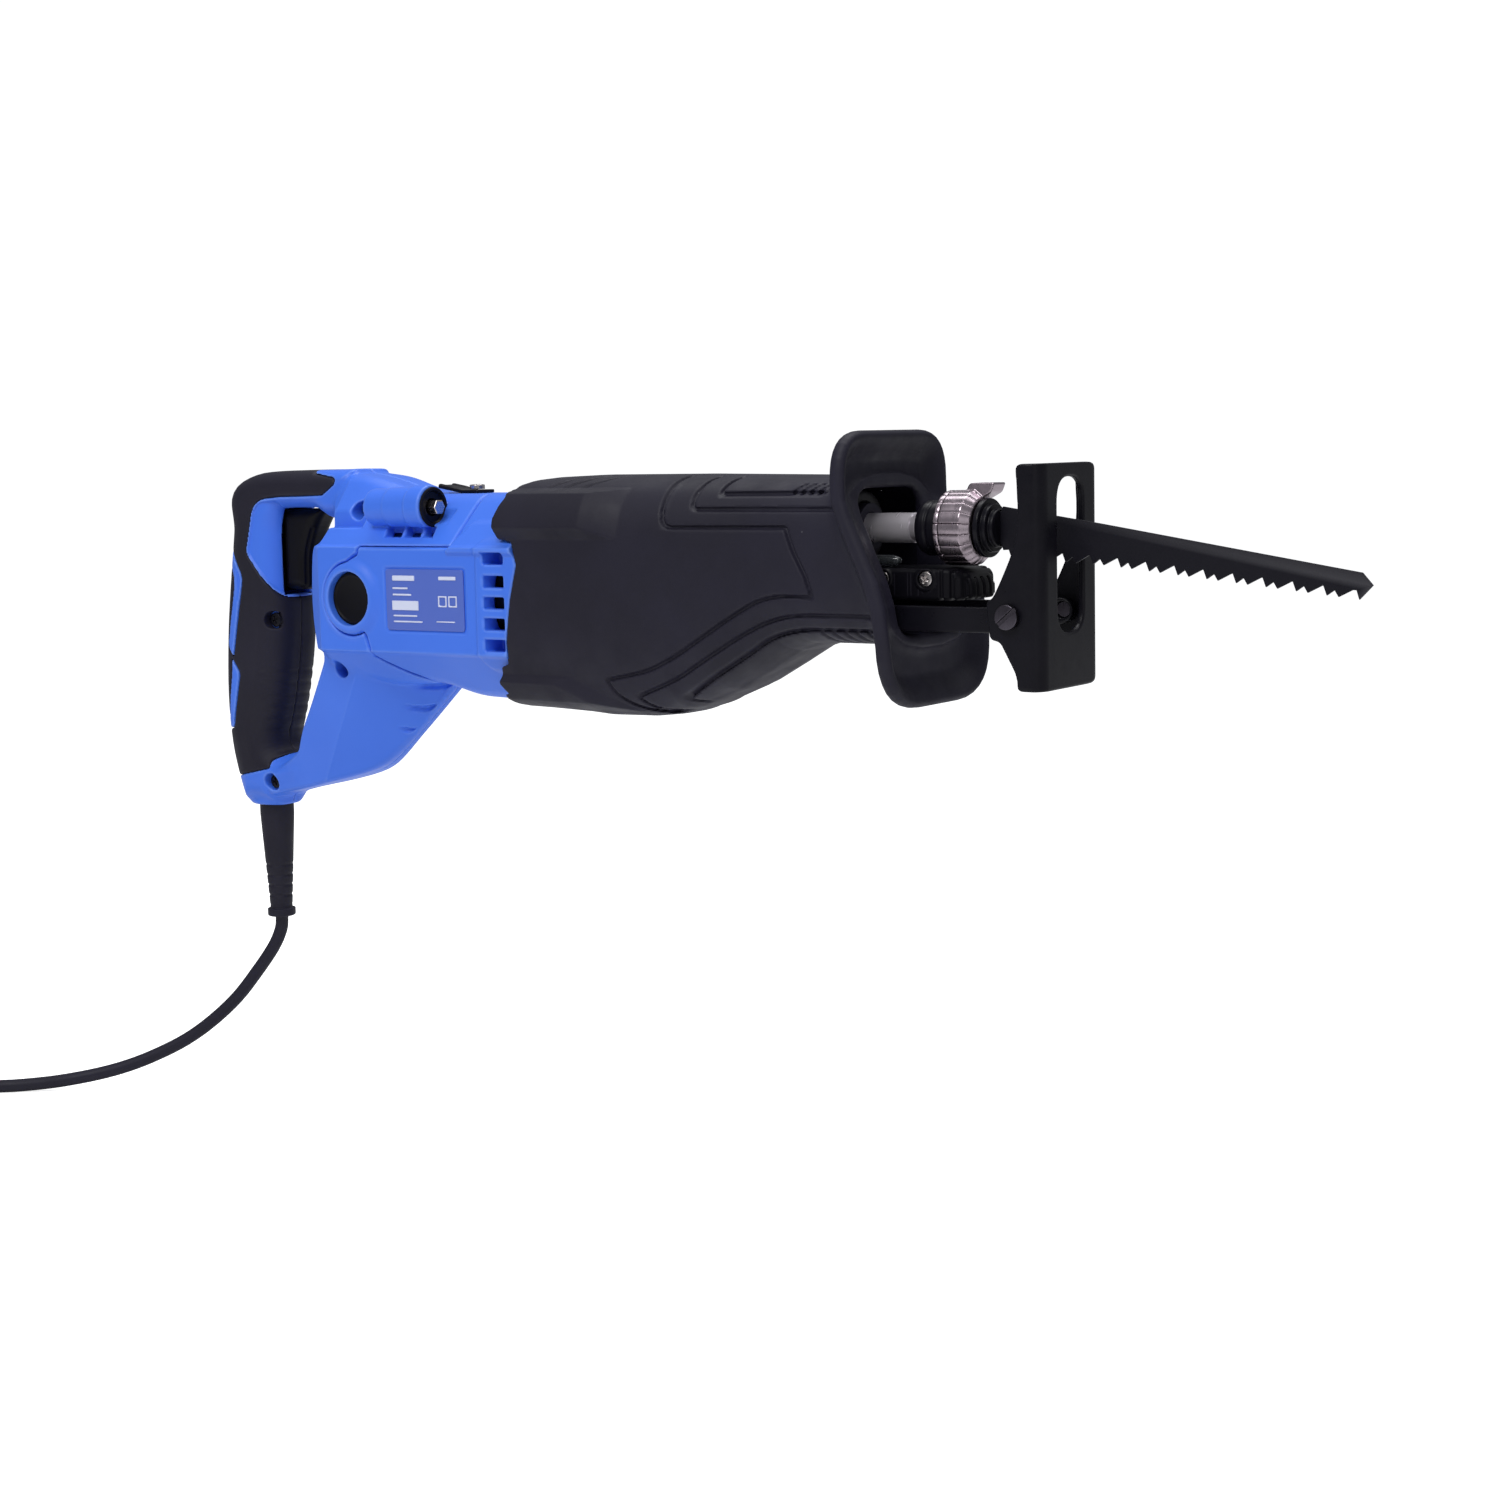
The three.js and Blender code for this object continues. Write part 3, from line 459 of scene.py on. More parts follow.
def copper():
    """Wound wire."""
    look = Look("copper", srgb(168, 88, 58), 0.35, 1.0)
    wire = look.noise(1800, 1, (0.03, 1, 1))
    return look.rough(wire, 0.25, 0.45).bump(wire, 0.15, 0.8).material


def core_iron():
    """Stacked sheets."""
    look = Look("core_iron", srgb(112, 113, 118), 0.5, 0.9)
    sheets = look.nodes.new("ShaderNodeTexWave")
    sheets.inputs["Scale"].default_value = 320
    look.links.new(look.place, sheets.inputs["Vector"])
    return look.rough(look.noise(80, 3), 0.42, 0.6).bump(sheets.outputs["Fac"], 0.1, 0.8).material


def cast_metal():
    look = Look("cast_aluminium", srgb(20, 20, 24), 0.5, 0.2)
    # painted highlight: a lighter grey along edges that stand out
    look.tint(srgb(60, 60, 66), look.edges(0.52, 0.6, 0.4))
    return look.finish((120, 4), 0.42, 0.62, (700, 4), 0.08, 0.6)


def brass():
    return Look("brass", srgb(190, 150, 80), 0.3, 1.0).finish((300, 3), 0.24, 0.4, (1500, 2), 0.01, 0.5)


def label_film():
    return Look("label_film", srgb(80, 106, 196), 0.35).finish((40, 3), 0.3, 0.42, (900, 1), 0.01, 0.4)


def label_ink():
    return Look("label_ink", srgb(214, 220, 244), 0.4).finish((60, 3), 0.35, 0.5, (1200, 1), 0.01, 0.4)


def carbon():
    return Look("carbon", srgb(46, 46, 48), 0.6, 0.2).finish((300, 4), 0.5, 0.7, (1600, 3), 0.03, 0.6)


def clear_lens():
    look = Look("clear_lens", (0.3, 0.33, 0.36), 0.12, Transmission_Weight=0.9, IOR=1.49)
    return look.bump(look.noise(500, 1), 0.02, 0.3).material


# Each look, and the slot that its pieces fill.
BLUE = blue_plastic(), "blue_plastic"
RUBBER = rubber(), "soft_rubber"
PLASTIC = black_plastic(), "black_plastic"
STEEL = bright_steel(), "bright_steel"
NICKEL = ground_steel("nickel_steel", (164, 152, 160), 0.24, 0.34), "nickel_steel"
# painted sheen: a whiter, part-diffuse copy of bright steel for the plunger, standing in for its bright
# reflection
POLISHED_WITH_PAINTED_SHEEN = ground_steel("polished_steel_painted_sheen", (240, 234, 242), 0.2, 0.28, 0.62), "bright_steel"
# painted shade: a darker copy of bright steel for the shoe's pivot screws
SHADED_GREY_STEEL = ground_steel("grey_steel_painted_shade", (78, 74, 82), 0.24, 0.36), "bright_steel"
DARK = black_steel("black_steel", (15, 14, 21), 0.34), "black_steel"
CLAMP_CAP = DARK[0], "black_plastic"
BLADE_STEEL = black_steel("blade_steel", (20, 19, 27), 0.46), "black_steel"
COPPER = copper(), "copper"
BRASS = brass(), "brass"
IRON = core_iron(), "core_iron"
CAST = cast_metal(), "cast_aluminium"
LABEL = label_film(), "label_film"
INK = label_ink(), "label_film"
CARBON = carbon(), "carbon"
LENS = clear_lens(), "clear_lens"


# ---- Camera --------------------------------------------------------------------------------------
def make_camera():
    azimuth, elevation, roll = (math.radians(a) for a in (35.0, 7.0, 1.3))
    back = Vector((math.sin(azimuth) * math.cos(elevation), -math.cos(azimuth) * math.cos(elevation),
                   math.sin(elevation)))
    right = Vector((math.cos(azimuth), math.sin(azimuth), 0))
    up = back.cross(right)
    tilted_right = right * math.cos(roll) - up * math.sin(roll)
    tilted_up = right * math.sin(roll) + up * math.cos(roll)
    camera = bpy.data.objects.new("camera", bpy.data.cameras.new("camera"))
    camera.data.lens = 60
    camera.data.sensor_width = 36
    turn = Matrix((tilted_right, tilted_up, back)).transposed().to_4x4()
    camera.matrix_world = Matrix.Translation((0.8743, -0.850, 0.0947)) @ turn
    bpy.context.scene.collection.objects.link(camera)
    bpy.context.scene.camera = camera


# ---- Mains cord ----------------------------------------------------------------------------------
# The free stretch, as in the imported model, in metres.
ROUTE = [
    (-0.001, 0, -0.1284), (-0.0016, -0.0005, -0.135), (-0.005, -0.003, -0.144), (-0.012, -0.0085, -0.1564),
    (-0.020, -0.0145, -0.1685), (-0.030, -0.022, -0.1796), (-0.0405, -0.0295, -0.1884),
    (-0.052, -0.038, -0.1953), (-0.063, -0.0464, -0.2004), (-0.075, -0.0555, -0.2042),
    (-0.090, -0.067, -0.2072), (-0.105, -0.0784, -0.2087), (-0.117, -0.0875, -0.2089),
    (-0.133, -0.0996, -0.2089), (-0.149, -0.1116, -0.2089),
]
ENTRY = (-159.0, -119.0, -208.8)  # between the free stretch and the coil, in millimetres
COIL_AT = np.array([-193.2, -93.7])
COIL_RADII = (28.0, 34.2, 40.4)  # three turns side by side
COIL_LOW = -207.1  # middle of the lowest layer
LAYER = 6.25
COIL_ORDER = [(2, 0), (1, 0), (0, 0), (0, 1), (1, 1), (2, 1), (2, 2), (1, 2), (0, 2), (0, 3), (1, 3)]
COIL_START = math.radians(-53.13)
TIE_TURN = -0.6  # how far round the coil the tie is
PLUG_TURN = 2.6  # how far round the coil the plug lies
PLUG_MID = 34.15  # distance of the plug's middle from the coil's centre
PLUG_Z = FLOOR_Z + 27 + GAP + 11
PLUG_BACK = 26  # from the plug's middle to the end that the cord enters


def smooth_line(points, each):
    """A line through points by Catmull-Rom, with `each` steps between neighbours."""
    points = [np.array(p, float) for p in points]
    padded = [2 * points[0] - points[1], *points, 2 * points[-1] - points[-2]]
    line = []
    for a, b, c, d in zip(padded, padded[1:], padded[2:], padded[3:], strict=False):
        for t in np.arange(each) / each:
            line.append(0.5 * (2 * b + (c - a) * t + (2 * a - 5 * b + 4 * c - d) * t**2
                               + (3 * b - a - 3 * c + d) * t**3))
    return [*line, points[-1]]


def coil_line(per_turn=28):
    points = []
    for k, (column, layer) in enumerate(COIL_ORDER):
        after = COIL_ORDER[k + 1] if k + 1 < len(COIL_ORDER) else (column, layer)
        for i in range(per_turn):
            share = i / per_turn
            move = float(smooth(0.84, 1.0, share))
            radius = COIL_RADII[column] + move * (COIL_RADII[after[0]] - COIL_RADII[column])
            height = COIL_LOW + LAYER * (layer + move * (after[1] - layer))
            angle = COIL_START - 2 * math.pi * (k + share)
            points.append((*(COIL_AT + radius * np.array([math.cos(angle), math.sin(angle)])), height))
    return [np.array(p) for p in points]


def plug_frame():
    """The plug's middle and the way it points, in millimetres in the plane of the floor."""
    out = np.array([math.cos(PLUG_TURN), math.sin(PLUG_TURN)])
    ahead = np.array([math.sin(PLUG_TURN), -math.cos(PLUG_TURN)])
    return COIL_AT + PLUG_MID * out, ahead


def make_cord():
    free = [np.array(p) / MM for p in ROUTE]
    coil = coil_line()
    middle, ahead = plug_frame()
    end = np.array([*(middle - ahead * (PLUG_BACK - 2)), PLUG_Z])
    start = coil[-1]
    leave = (coil[-1] - coil[-2]) / np.linalg.norm(coil[-1] - coil[-2])
    arrive = np.array([*ahead, 0.0])
    reach = 78.0  # how far the rise from the coil to the plug swings out
    rise = []
    for t in np.linspace(0, 1, 16)[1:]:
        rise.append((2 * t**3 - 3 * t**2 + 1) * start + (t**3 - 2 * t**2 + t) * reach * leave
                    + (3 * t**2 - 2 * t**3) * end + (t**3 - t**2) * reach * arrive)
    lead = smooth_line([*free, np.array(ENTRY), *coil[:2]], 4)[:-9]
    line = [p * MM for p in [*lead, *coil, *rise]]
    length = sum(float(np.linalg.norm(b - a)) for a, b in zip(line, line[1:], strict=False))
    curve = bpy.data.curves.new("mains_cord", "CURVE")
    curve.dimensions = "3D"
    curve.bevel_depth = CORD_R * MM
    curve.bevel_resolution = 6
    curve.use_fill_caps = True
    spline = curve.splines.new("POLY")
    spline.points.add(len(line) - 1)
    for point, place in zip(spline.points, line, strict=True):
        point.co = (*place, 1)
    spline.use_smooth = True
    cord = link("mains_cord", curve, RUBBER, "body", ["cord", "cord_coil"])
    return cord, length


def laid(vertices, ahead, place):
    """Vertices turned about Z so that X points ahead, and moved to a place."""
    turn = np.array([[ahead[0], -ahead[1], 0], [ahead[1], ahead[0], 0], [0, 0, 1]])
    return vertices @ turn.T + np.array(place)


def make_tie():
    """A strap with a buckle round the coil's section."""
    inner, outer = 23.4, 44.6
    low, high = FLOOR_Z + 0.2, FLOOR_Z + 28.4
    grid = Grid((inner - 5, -9, low - 2), (outer + 6, 9, high + 3), 0.5, 0.8)
    box = meet(span(grid.x, inner - 1.3, outer + 0.8), span(grid.z, low, high), 4)
    strap = meet(np.abs(box + 0.7) - 0.7, np.abs(grid.y) - 5, 0.5)
    strap = strap + 0.25 * smooth(0.6, 0.2, np.abs((grid.y + 50) % 2.0 - 1.0))
    buckle = meet(meet(span(grid.x, outer - 0.4, outer + 2.2), np.abs(grid.y) - 6.4, 0.6),
                  span(grid.z, low + 8, low + 17), 0.6)
    vertices, quads = skin_of(union(strap, buckle, 0.6), grid)
    ahead = (math.cos(TIE_TURN), math.sin(TIE_TURN))
    mesh = mesh_from("coil_tie", laid(vertices, ahead, (*COIL_AT, 0)), quads)
    return link("coil_tie", mesh, RUBBER, "body", ["cord_tie"])


def make_plug():
    """A two-pin contour plug with ribbed finger grips, lying on the coil."""
    grid = Grid((-28, -19, -12.5), (43, 19, 12.5), 0.45, 0.8)
    x, y, z = grid.xyz
    shape = rounded([(-26, -5, 2), (-14, -9, 6), (22, -17.3, 5), (22, 17.3, 5), (-14, 9, 6), (-26, 5, 2)])
    plan = region(shape, x, y)
    half = 6.5 + 4.3 * smooth(-26, -6, x)
    body = meet(plan, np.abs(z) - half, 3.5)
    ribs = smooth(0.9, 0.3, np.abs((x + 60) % 3.2 - 1.6)) * span(x, -8, 12).clip(None, 0)
    body = body + 0.6 * np.clip(-ribs, 0, 1) * smooth(-4.5, -1.0, plan)
    neck = smooth(1.2, 0.5, np.abs((x + 60) % 3.4 - 1.7)) * smooth(-14, -17, x)
    body = cut(body + 0.9 * neck, meet(rod(y, z, 3.4), span(x, -30, -24)))
    pin = np.abs(y) - 9.5
    sleeves = meet(rod(pin, z, 2.3), span(x, 20, 31))
    tips = meet(rod(pin, z, 2.4), span(x, 31.2, 41), 1.6)
    middle, ahead = plug_frame()
    made = []
    for name, field, look, nodes in (("plug_body", union(body, sleeves, 0.5), PLASTIC, ["plug"]),
                                     ("plug_pins", tips, STEEL, [])):
        vertices, quads = skin_of(field, grid)
        mesh = mesh_from(name, laid(vertices, ahead, (*middle, PLUG_Z)), quads)
        made.append(link(name, mesh, look, "body", nodes))
    return made


# ---- Handle, motor section and leg ---------------------------------------------------------------
def boot_rear(z):
    """Where the rubber boot starts along the side of the motor section."""
    return along([(-26, 181), (-14.4, 181), (-5.3, 176), (2.1, 177.4), (3.4, 181.4), (14, 182.6),
                  (31, 185.4), (45.6, 189.2), (55.4, 186), (56.6, 178.6), (64.9, 177), (70.8, 179),
                  (74.5, 181), (95, 181)], z)


LOOP = rounded([
    (-11, -71.2, 2), (-15, -60.5, 10), (-19.4, -44, 12), (-21, -20, 18), (-18.9, 10, 30), (-16.2, 30, 24),
    (-10.8, 62, 14), (-9.2, 79.4, 13), (6, 85.8, 14), (24, 86.8, 10), (70, 86.8, 1), (70, 40, 1), (60, -6, 1),
    (44, -44, 4), (30, -61, 4), (12, -67, 3), (8.6, -71.2, 1),
])
HOLE = rounded([
    (23.5, 69.5, 3), (45.5, 69.5, 3), (53, 64.2, 3), (80, 63.6, 1), (80, 5, 1), (62, -4, 1), (50, -26, 4),
    (42, -38, 4), (33, -46.5, 5), (12, -47, 5), (9, -40, 6), (13.3, -29, 10), (17.6, -12, 12), (21, 8, 12),
    (21.8, 26, 3), (21.6, 31, 2), (22, 60, 4),
])
HEAD = rounded([
    (62, 86.6, 2), (72, 85.4, 6), (89, 82, 10), (102, 78, 8), (113, 75.4, 8), (196, 75, 1), (196, -15.5, 1),
    (145, -14, 6), (129, -8, 6), (100, -10, 1), (70, -6, 4), (62, 7, 6), (57, 19, 10), (55.8, 30, 16),
    (58, 43, 10), (61.8, 53, 4), (70, 57, 4), (71, 65, 3), (62, 70, 2),
])
# The soft cover on the grip and the two blue inlays down its back.
COVERED = rounded([
    (-40, 98, 1), (43, 98, 1), (46.5, 85.2, 1), (61.5, 83, 1.5), (62, 80.4, 1.5), (53.7, 75.2, 1),
    (27, 74.8, 4), (13, 73.8, 5), (7.5, 69, 5), (6, 62, 4), (2.4, 48.6, 3), (19.5, 28, 3), (25, 24.8, 3),
    (36, 25, 1), (36, -38, 1), (29, -41.6, 1), (23.7, -43.3, 3), (10.5, -50.2, 1.5), (11, -53.6, 1),
    (-6.6, -57.4, 1), (-40, -64, 1),
])
INLAYS = [
    rounded([(-14, 54, 1), (-5.3, 44.9, 3), (-0.8, 37, 3), (-2.1, 31, 6), (-9.1, -0.8, 1), (-14, 4.5, 2),
             (-12.6, 9, 2), (-6.8, 31, 3), (-6.5, 36.8, 2), (-16, 50, 1)]),
    rounded([(-10.5, -1.8, 1), (-5.3, -8.6, 2), (-11.3, -34.6, 1), (-26, -37.5, 1), (-26, -31, 1),
             (-15.8, -30.3, 1), (-10.6, -9, 2)]),
]
# Right-side screws: X, Z, depth of the seat and radius of the well above it.
HANDLE_SCREWS = [(16.5, 17.0, 11.0, 5.1), (85.5, 68.5, 18.0, 4.2), (72.5, -3.0, 17.0, 4.2),
                 (12.0, -60.0, 11.0, 4.2)]
VENT_BOTTOMS = (8.6, 17.7, 26.8, 35.9, 45.8)
VENT_TALL = 5.2


def housing_outline():
    """The part of the side view that belongs to the motor housing; its rear edge runs round the brush cap."""
    arc = [(CAP[0] + 16.4 * math.cos(a), CAP[1] + 16.4 * math.sin(a))
           for a in np.radians(np.linspace(98, 296, 26))]
    below = [(101.4, 7.4), (100.9, 4.4), (105.5, 1.2), (113, -2.8), (121, -6), (127, -10), (127, -40)]
    return np.array([(150, 53), (96.5, 53), (95.5, 49.8), *arc, *below, (220, -40), (220, 110), (150, 110)])


def motor_side(x, z):
    """Half width of the motor section over the side view."""
    slope = 0.74 + 0.33 * smooth(78, 114, x)
    deck = 37.4 - slope * np.maximum(z - 53.5, 0)
    belly = 37.4 - 1.02 * np.maximum(6 - z, 0)
    band = smooth(SHOULDER_LOW - 0.9, SHOULDER_LOW + 0.3, z)
    band = band * smooth(SHOULDER_HIGH + 0.9, SHOULDER_HIGH - 0.3, z)
    half = np.minimum(deck, belly) + (BAND_HALF - 37.4) * band
    half = half - 0.62 * np.maximum(72 - x, 0)
    vent_pad = region(rounded([(165.5, 57, 7), (200, 57, 1), (200, -1, 1), (165, -1, 7)]), x, z)
    wedge = rounded([(149, 54, 2), (155, 63.5, 2), (200, 65, 1), (200, 50, 1), (149, 50, 1)])
    half = half + 1.4 * smooth(1.2, -1.6, vent_pad) + 1.6 * smooth(1.0, -1.4, region(wedge, x, z))
    cap_ring = np.hypot(x - CAP[0], z - CAP[1])
    return half + 2.4 * smooth(19.2, 13.2, cap_ring)


# Curved finger grooves under the strut.
SLITS = [
    [(101, -10.2), (111, -10.6), (118, -9.2), (124, -6.2)],
    [(94, -20.0), (102, -21.2), (108, -20.2), (113.5, -17.6)],
    [(88, -30.8), (94.5, -31.6), (99, -30.4), (103, -28.4)],
]


def leg_field(grid):
    """The strut below the motor: a wedge in plan, widest at a crease, narrow at its front edge."""
    x, y, z = grid.xyz
    outer = rounded([(58, 14, 1), (126, 8, 1), (123.5, -8, 4), (98, -31.5, 20), (77.5, -49, 10),
                     (66, -54, 10), (34, -62, 8), (8, -67, 4), (10, -58, 2), (28, -47, 3), (33, -43.6, 2),
                     (37.5, -34, 6), (47.5, -20, 10), (62, 2, 4)])
    crease = 84.6 + (z - 0.6) * 0.612
    half = 28.5 + 0.2 * z - 0.56 * np.maximum(x - crease, 0) - 0.05 * np.maximum(crease - x, 0)
    side = (np.abs(y) - np.maximum(half, 4.5)) / 1.12
    profile = region(outer, x, z)
    for line in SLITS:
        distance, share = stroke(line, x, z)
        below = along(line, x) - z
        scoop = smooth(3.4, 0, distance) * smooth(-0.3, 0.1, below)
        scoop = scoop * smooth(0, 0.25, share) * smooth(1, 0.75, share)
        side = side + 2.2 * scoop * smooth(-0.6, -2.6, profile)
    return meet(side, profile, 2)


def blue_skin(grid):
    """The outer surface of handle, motor section and leg as one body."""
    x, y, z = grid.xyz
    loop = np.maximum(region(LOOP, x, z), -region(HOLE, x, z))
    edge = 12.5 - 4.5 * smooth(58, 74, z) - 4 * smooth(24, 30, x) * smooth(60, 40, z)
    handle = meet(loop, np.abs(y) - 16.6, edge)
    head = region(HEAD, x, z)
    side = (np.abs(y) - motor_side(x, z)) / 1.2
    motor = meet(head, side, 4 + 3 * smooth(66, 54, x))
    motor = meet(motor, z - 86.6 + 0.010 * y**2, 3)
    corner = -0.45 * (x - 75) + 0.6 * (np.abs(y) - 23) + 0.66 * (z - 79.5)
    motor = meet(motor, corner, 0.8)
    screw_flat = meet(meet(span(x, 68, 92), span(z, 61, 78)), 26.4 - np.abs(y))
    motor = cut(motor, screw_flat, 0.6)
    skin = union(union(motor, handle, 3.5), leg_field(grid), 2.5)
    collar = meet(rod(x - CORD_X, y, 11.6), span(z, -72.4, -56), 1.5)
    return union(skin, collar, 3)


def tube_field(grid):
    """The hex key holder on the right of the deck, with its stepped barrel."""
    x, y, z = grid.xyz
    radius = 8.3 + 0.6 * smooth(109, 110.2, x) + 0.8 * smooth(122.2, 123.4, x)
    return meet(rod(y - KEY_Y, z - KEY_Z, radius), span(x, 98.6, 132), 0.8)


def covered_zone(x, z, margin):
    """Signed distance to what the soft cover hides, with a margin round the inlays."""
    zone = region(COVERED, x, z)
    for inlay in INLAYS:
        zone = np.maximum(zone, margin - region(inlay, x, z))
    return zone


def bevel_at(seam):
    """How far a chamfer beside a seam goes below the surface."""
    return 1.4 * np.exp(-((seam / 0.6) ** 2))


def make_shell(side, name):
    right = side < 0
    low, high = sorted((-1.2 * side, 42.5 * side))
    grid = Grid((-26, low, -78), (152, high, 90), 0.6, 1.1)
    x, y, z = grid.xyz
    skin = blue_skin(grid)
    if right:
        skin = union(skin, tube_field(grid), 1.2)
    covered = covered_zone(x, z, 0)
    seam = region(housing_outline(), x, z)
    inner_zone = smooth(1.2, -0.8, span(x, -4, 23.5)) * smooth(0.8, -0.8, span(z, 26, 72.6))
    outer = skin + (COVER + 0.25) * smooth(0.35, -0.35, covered)
    outer = outer + 1.3 * inner_zone * smooth(0.2, 1.6, covered) + bevel_at(seam)
    shell = cut(outer, skin + 5.6)
    shell = np.maximum(shell, 0.15 - seam)
    rooms = [
        meet(meet(span(x, 10, 46), span(z, 28.6, 69.4)), np.abs(y) - 8.4),
        meet(rod(y, z - MOTOR_Z, 14.4), span(x, 59.4, 84)),
        meet(rod(x - CORD_X, y, 8.45), span(z, -90, -50)),
        meet(rod(y, z - MOTOR_Z, 36.4), span(x, 79, 200)),
    ]
    for room in rooms:
        shell = cut(shell, room, 0.4)
    if right:
        bore = meet(rod(y - KEY_Y, z - KEY_Z, 7.3), span(x, 99.7, 140))
        solid_tube = meet(rod(y - KEY_Y, z - KEY_Z, 8), span(x, 98.2, 131.8))
        shell = cut(union(shell, solid_tube, 1), bore, 0.5)
        lean = 0.35 * (61.3 - z)
        for rear, length in ((106.6, 9.6), (118.0, 9.4), (129.2, 5.4)):
            window = meet(span(x - lean, rear, rear + length), span(z, 56.9, 61.3))
            shell = cut(shell, meet(window, y + 26), 0.5)
        for at_x, at_z, seat, radius in HANDLE_SCREWS:
            hole = meet(rod(x - at_x, z - at_z, radius), y + seat)
            column = np.maximum(meet(rod(x - at_x, z - at_z, 5.6), y + seat - 3), outer)
            shell = cut(union(shell, column), hole, 0.6)
    shell = np.maximum(shell, GAP / 2 - side * y)
    moulded(f"handle_shell_{name}", shell, grid, BLUE, "body", [f"handle_shell_{name}"])


def make_grip_cover(side, name):
    low, high = sorted((-1.2 * side, 19 * side))
    grid = Grid((-26, low, -66), (66, high, 90), 0.55, 1.0)
    x, y, z = grid.xyz
    skin = blue_skin(grid)
    covered = covered_zone(x, z, GAP)
    ribs = smooth(1.6, 0.4, np.abs((z + 100.6) % 5.6 - 2.8)) * smooth(-2, -6, z) * smooth(-40, -36, z)
    skin = skin + 0.3 * ribs * smooth(6, 10, x)
    cover = meet(skin + 0.5 * smooth(-1.5, 0.8, covered), covered, 0.7)
    cover = cut(cover, skin + COVER)
    if side < 0:
        at_x, at_z, seat, _ = HANDLE_SCREWS[0]
        sleeve = meet(meet(rod(x - at_x, z - at_z, 4.9), y + seat), skin)
        cover = cut(union(cover, sleeve), meet(rod(x - at_x, z - at_z, 4.1), y + seat), 0.6)
    cover = np.maximum(cover, GAP / 2 - side * y)
    moulded(f"grip_cover_{name}", cover, grid, RUBBER, "body", [f"grip_cover_{name}"])


def make_trigger():
    grid = Grid((7, -9, 27), (47, 9, 72), 0.4, 0.7)
    x, y, z = grid.xyz
    side = region(rounded([(17.5, 68.8, 2), (45, 69, 1.5), (38, 61, 8), (33.4, 50, 12), (32.6, 42, 14),
                           (32.6, 31, 4), (17.5, 31, 1)]), x, z)
    lever = meet(side, np.abs(y) - 7.6, 5.2)
    lever = lever + 0.4 * smooth(0.9, 0.3, np.abs(np.abs(y) - 5.4)) * (x > 28) * (z < 60)
    tongue = meet(meet(span(x, 9, 19), span(z, 42, 56)), np.abs(y) - 4, 0.4)
    moulded("trigger_lever", union(lever, tongue, 0.5), grid, PLASTIC, "trigger", ["trigger"])


def make_motor_housing():
    grid = Grid((56, -43, -19), (191, 43, 79), 0.64, 1.2)
    x, y, z = grid.xyz
    skin = blue_skin(grid)
    seam = region(housing_outline(), x, z)
    barrel = meet(rod(y, z - MOTOR_Z, 36), span(x, 80, 182), 1)
    nose = meet(rod(y, z - MOTOR_Z, 14), span(x, 59.7, 84), 1)
    body = np.maximum(skin + bevel_at(seam), seam + GAP / 2)
    body = union(meet(union(body, barrel), union(body, skin + 3.3)), nose)
    body = cut(body, meet(rod(y, z - MOTOR_Z, 33.3), span(x, 84, 200)))
    body = cut(body, meet(rod(y, z - MOTOR_Z, 11.3), span(x, 50, 90)))
    hole = rod(x - CAP[0], z - CAP[1], 12.0)
    body = cut(body, meet(hole, 36.2 - np.abs(y)), 0.6)
    body = cut(body, rod(x - CAP[0], z - CAP[1], 6.6))
    ramp = 169.8 + 0.15 * (41 - np.abs(y))
    for bottom in VENT_BOTTOMS:
        slot = meet(meet(span(x, 0, 181.4), ramp - x), span(z, bottom, bottom + VENT_TALL))
        body = cut(body, meet(slot, 30 - np.abs(y)), 0.5)
    panel = region(rounded([(112, 44.2, 2), (159, 44.2, 2), (159, 15.8, 2), (112, 15.8, 2)]), x, z)
    body = body + 0.5 * smooth(0.4, -0.4, panel) * (y < 0)
    lip = np.where(np.abs(y) > 36.4, np.maximum(boot_rear(z) - GAP - 0.2, 182), 182)
    body = np.maximum(body, x - lip)
    moulded("motor_housing", body, grid, BLUE, "body", ["motor_housing"])


def make_vent_shade_baffle():
    """The black ring that guides the fan's air out past the vents; its black puts painted shade behind them.
    """
    profile = [(30.2, 167.6), (32.8, 167.6), (33, 168), (33, 181.4), (32.8, 181.7), (30.2, 181.7)]
    lathed("vent_shade_baffle", profile, (0, MOTOR_Z), "x", PLASTIC, "body")


# Bars in place of print: rear and front end, low and high edge.
LABEL_BARS = [
    (117, 130, 38.2, 40.6), (117, 126, 34.6, 35.4), (117, 128, 31.8, 32.6), (116.6, 132, 25.4, 29.6),
    (117, 131, 22.6, 23.4), (117, 134, 20.0, 20.8), (144, 154, 38.8, 40.4), (142, 153, 20.4, 21.0),
]


def make_label():
    """A blank rating plate: a film with a thin frame and plain bars where print would be."""
    grid = Grid((110, -41.5, 14), (161, -37, 46), 0.35, 0.6)
    x, z = grid.x, grid.z
    film = region(rounded([(113, 43.4, 1.5), (158, 43.4, 1.5), (158, 16.6, 1.5), (113, 16.6, 1.5)]), x, z)
    film = meet(film, np.abs(grid.y + 38.75) - 0.42, 0.15)
    moulded("rating_plate", film, grid, LABEL, "body", ["label_plate"])
    ink = np.float32(1e3)
    for rear, front, low, high in LABEL_BARS:
        ink = union(ink, np.maximum(span(x, rear, front), span(z, low, high)))
    for at in (146.0, 151.8):
        frame_line = np.abs(np.maximum(np.abs(x - at), np.abs(z - 29.5)) - 2.1) - 0.35
        ink = union(ink, frame_line)
    ink = np.maximum(ink, np.abs(grid.y + 39.2) - 0.3)
    moulded("rating_plate_print", ink, grid, INK, "body")


def make_brush_caps():
    outline = [(0, 36.4), (11.1, 36.4), (11.7, 36.9), (11.7, 37.9), (11.2, 38.4), (10.4, 38.5), (9.9, 38.1),
               (9.2, 37.9), (0, 37.7)]
    for name, side in (("right", -1), ("left", 1)):
        profile = [(radius, side * y) for radius, y in outline]
        lathed(f"brush_cap_{name}", profile, CAP, "y", PLASTIC, "body", [f"brush_cap_{name}"])


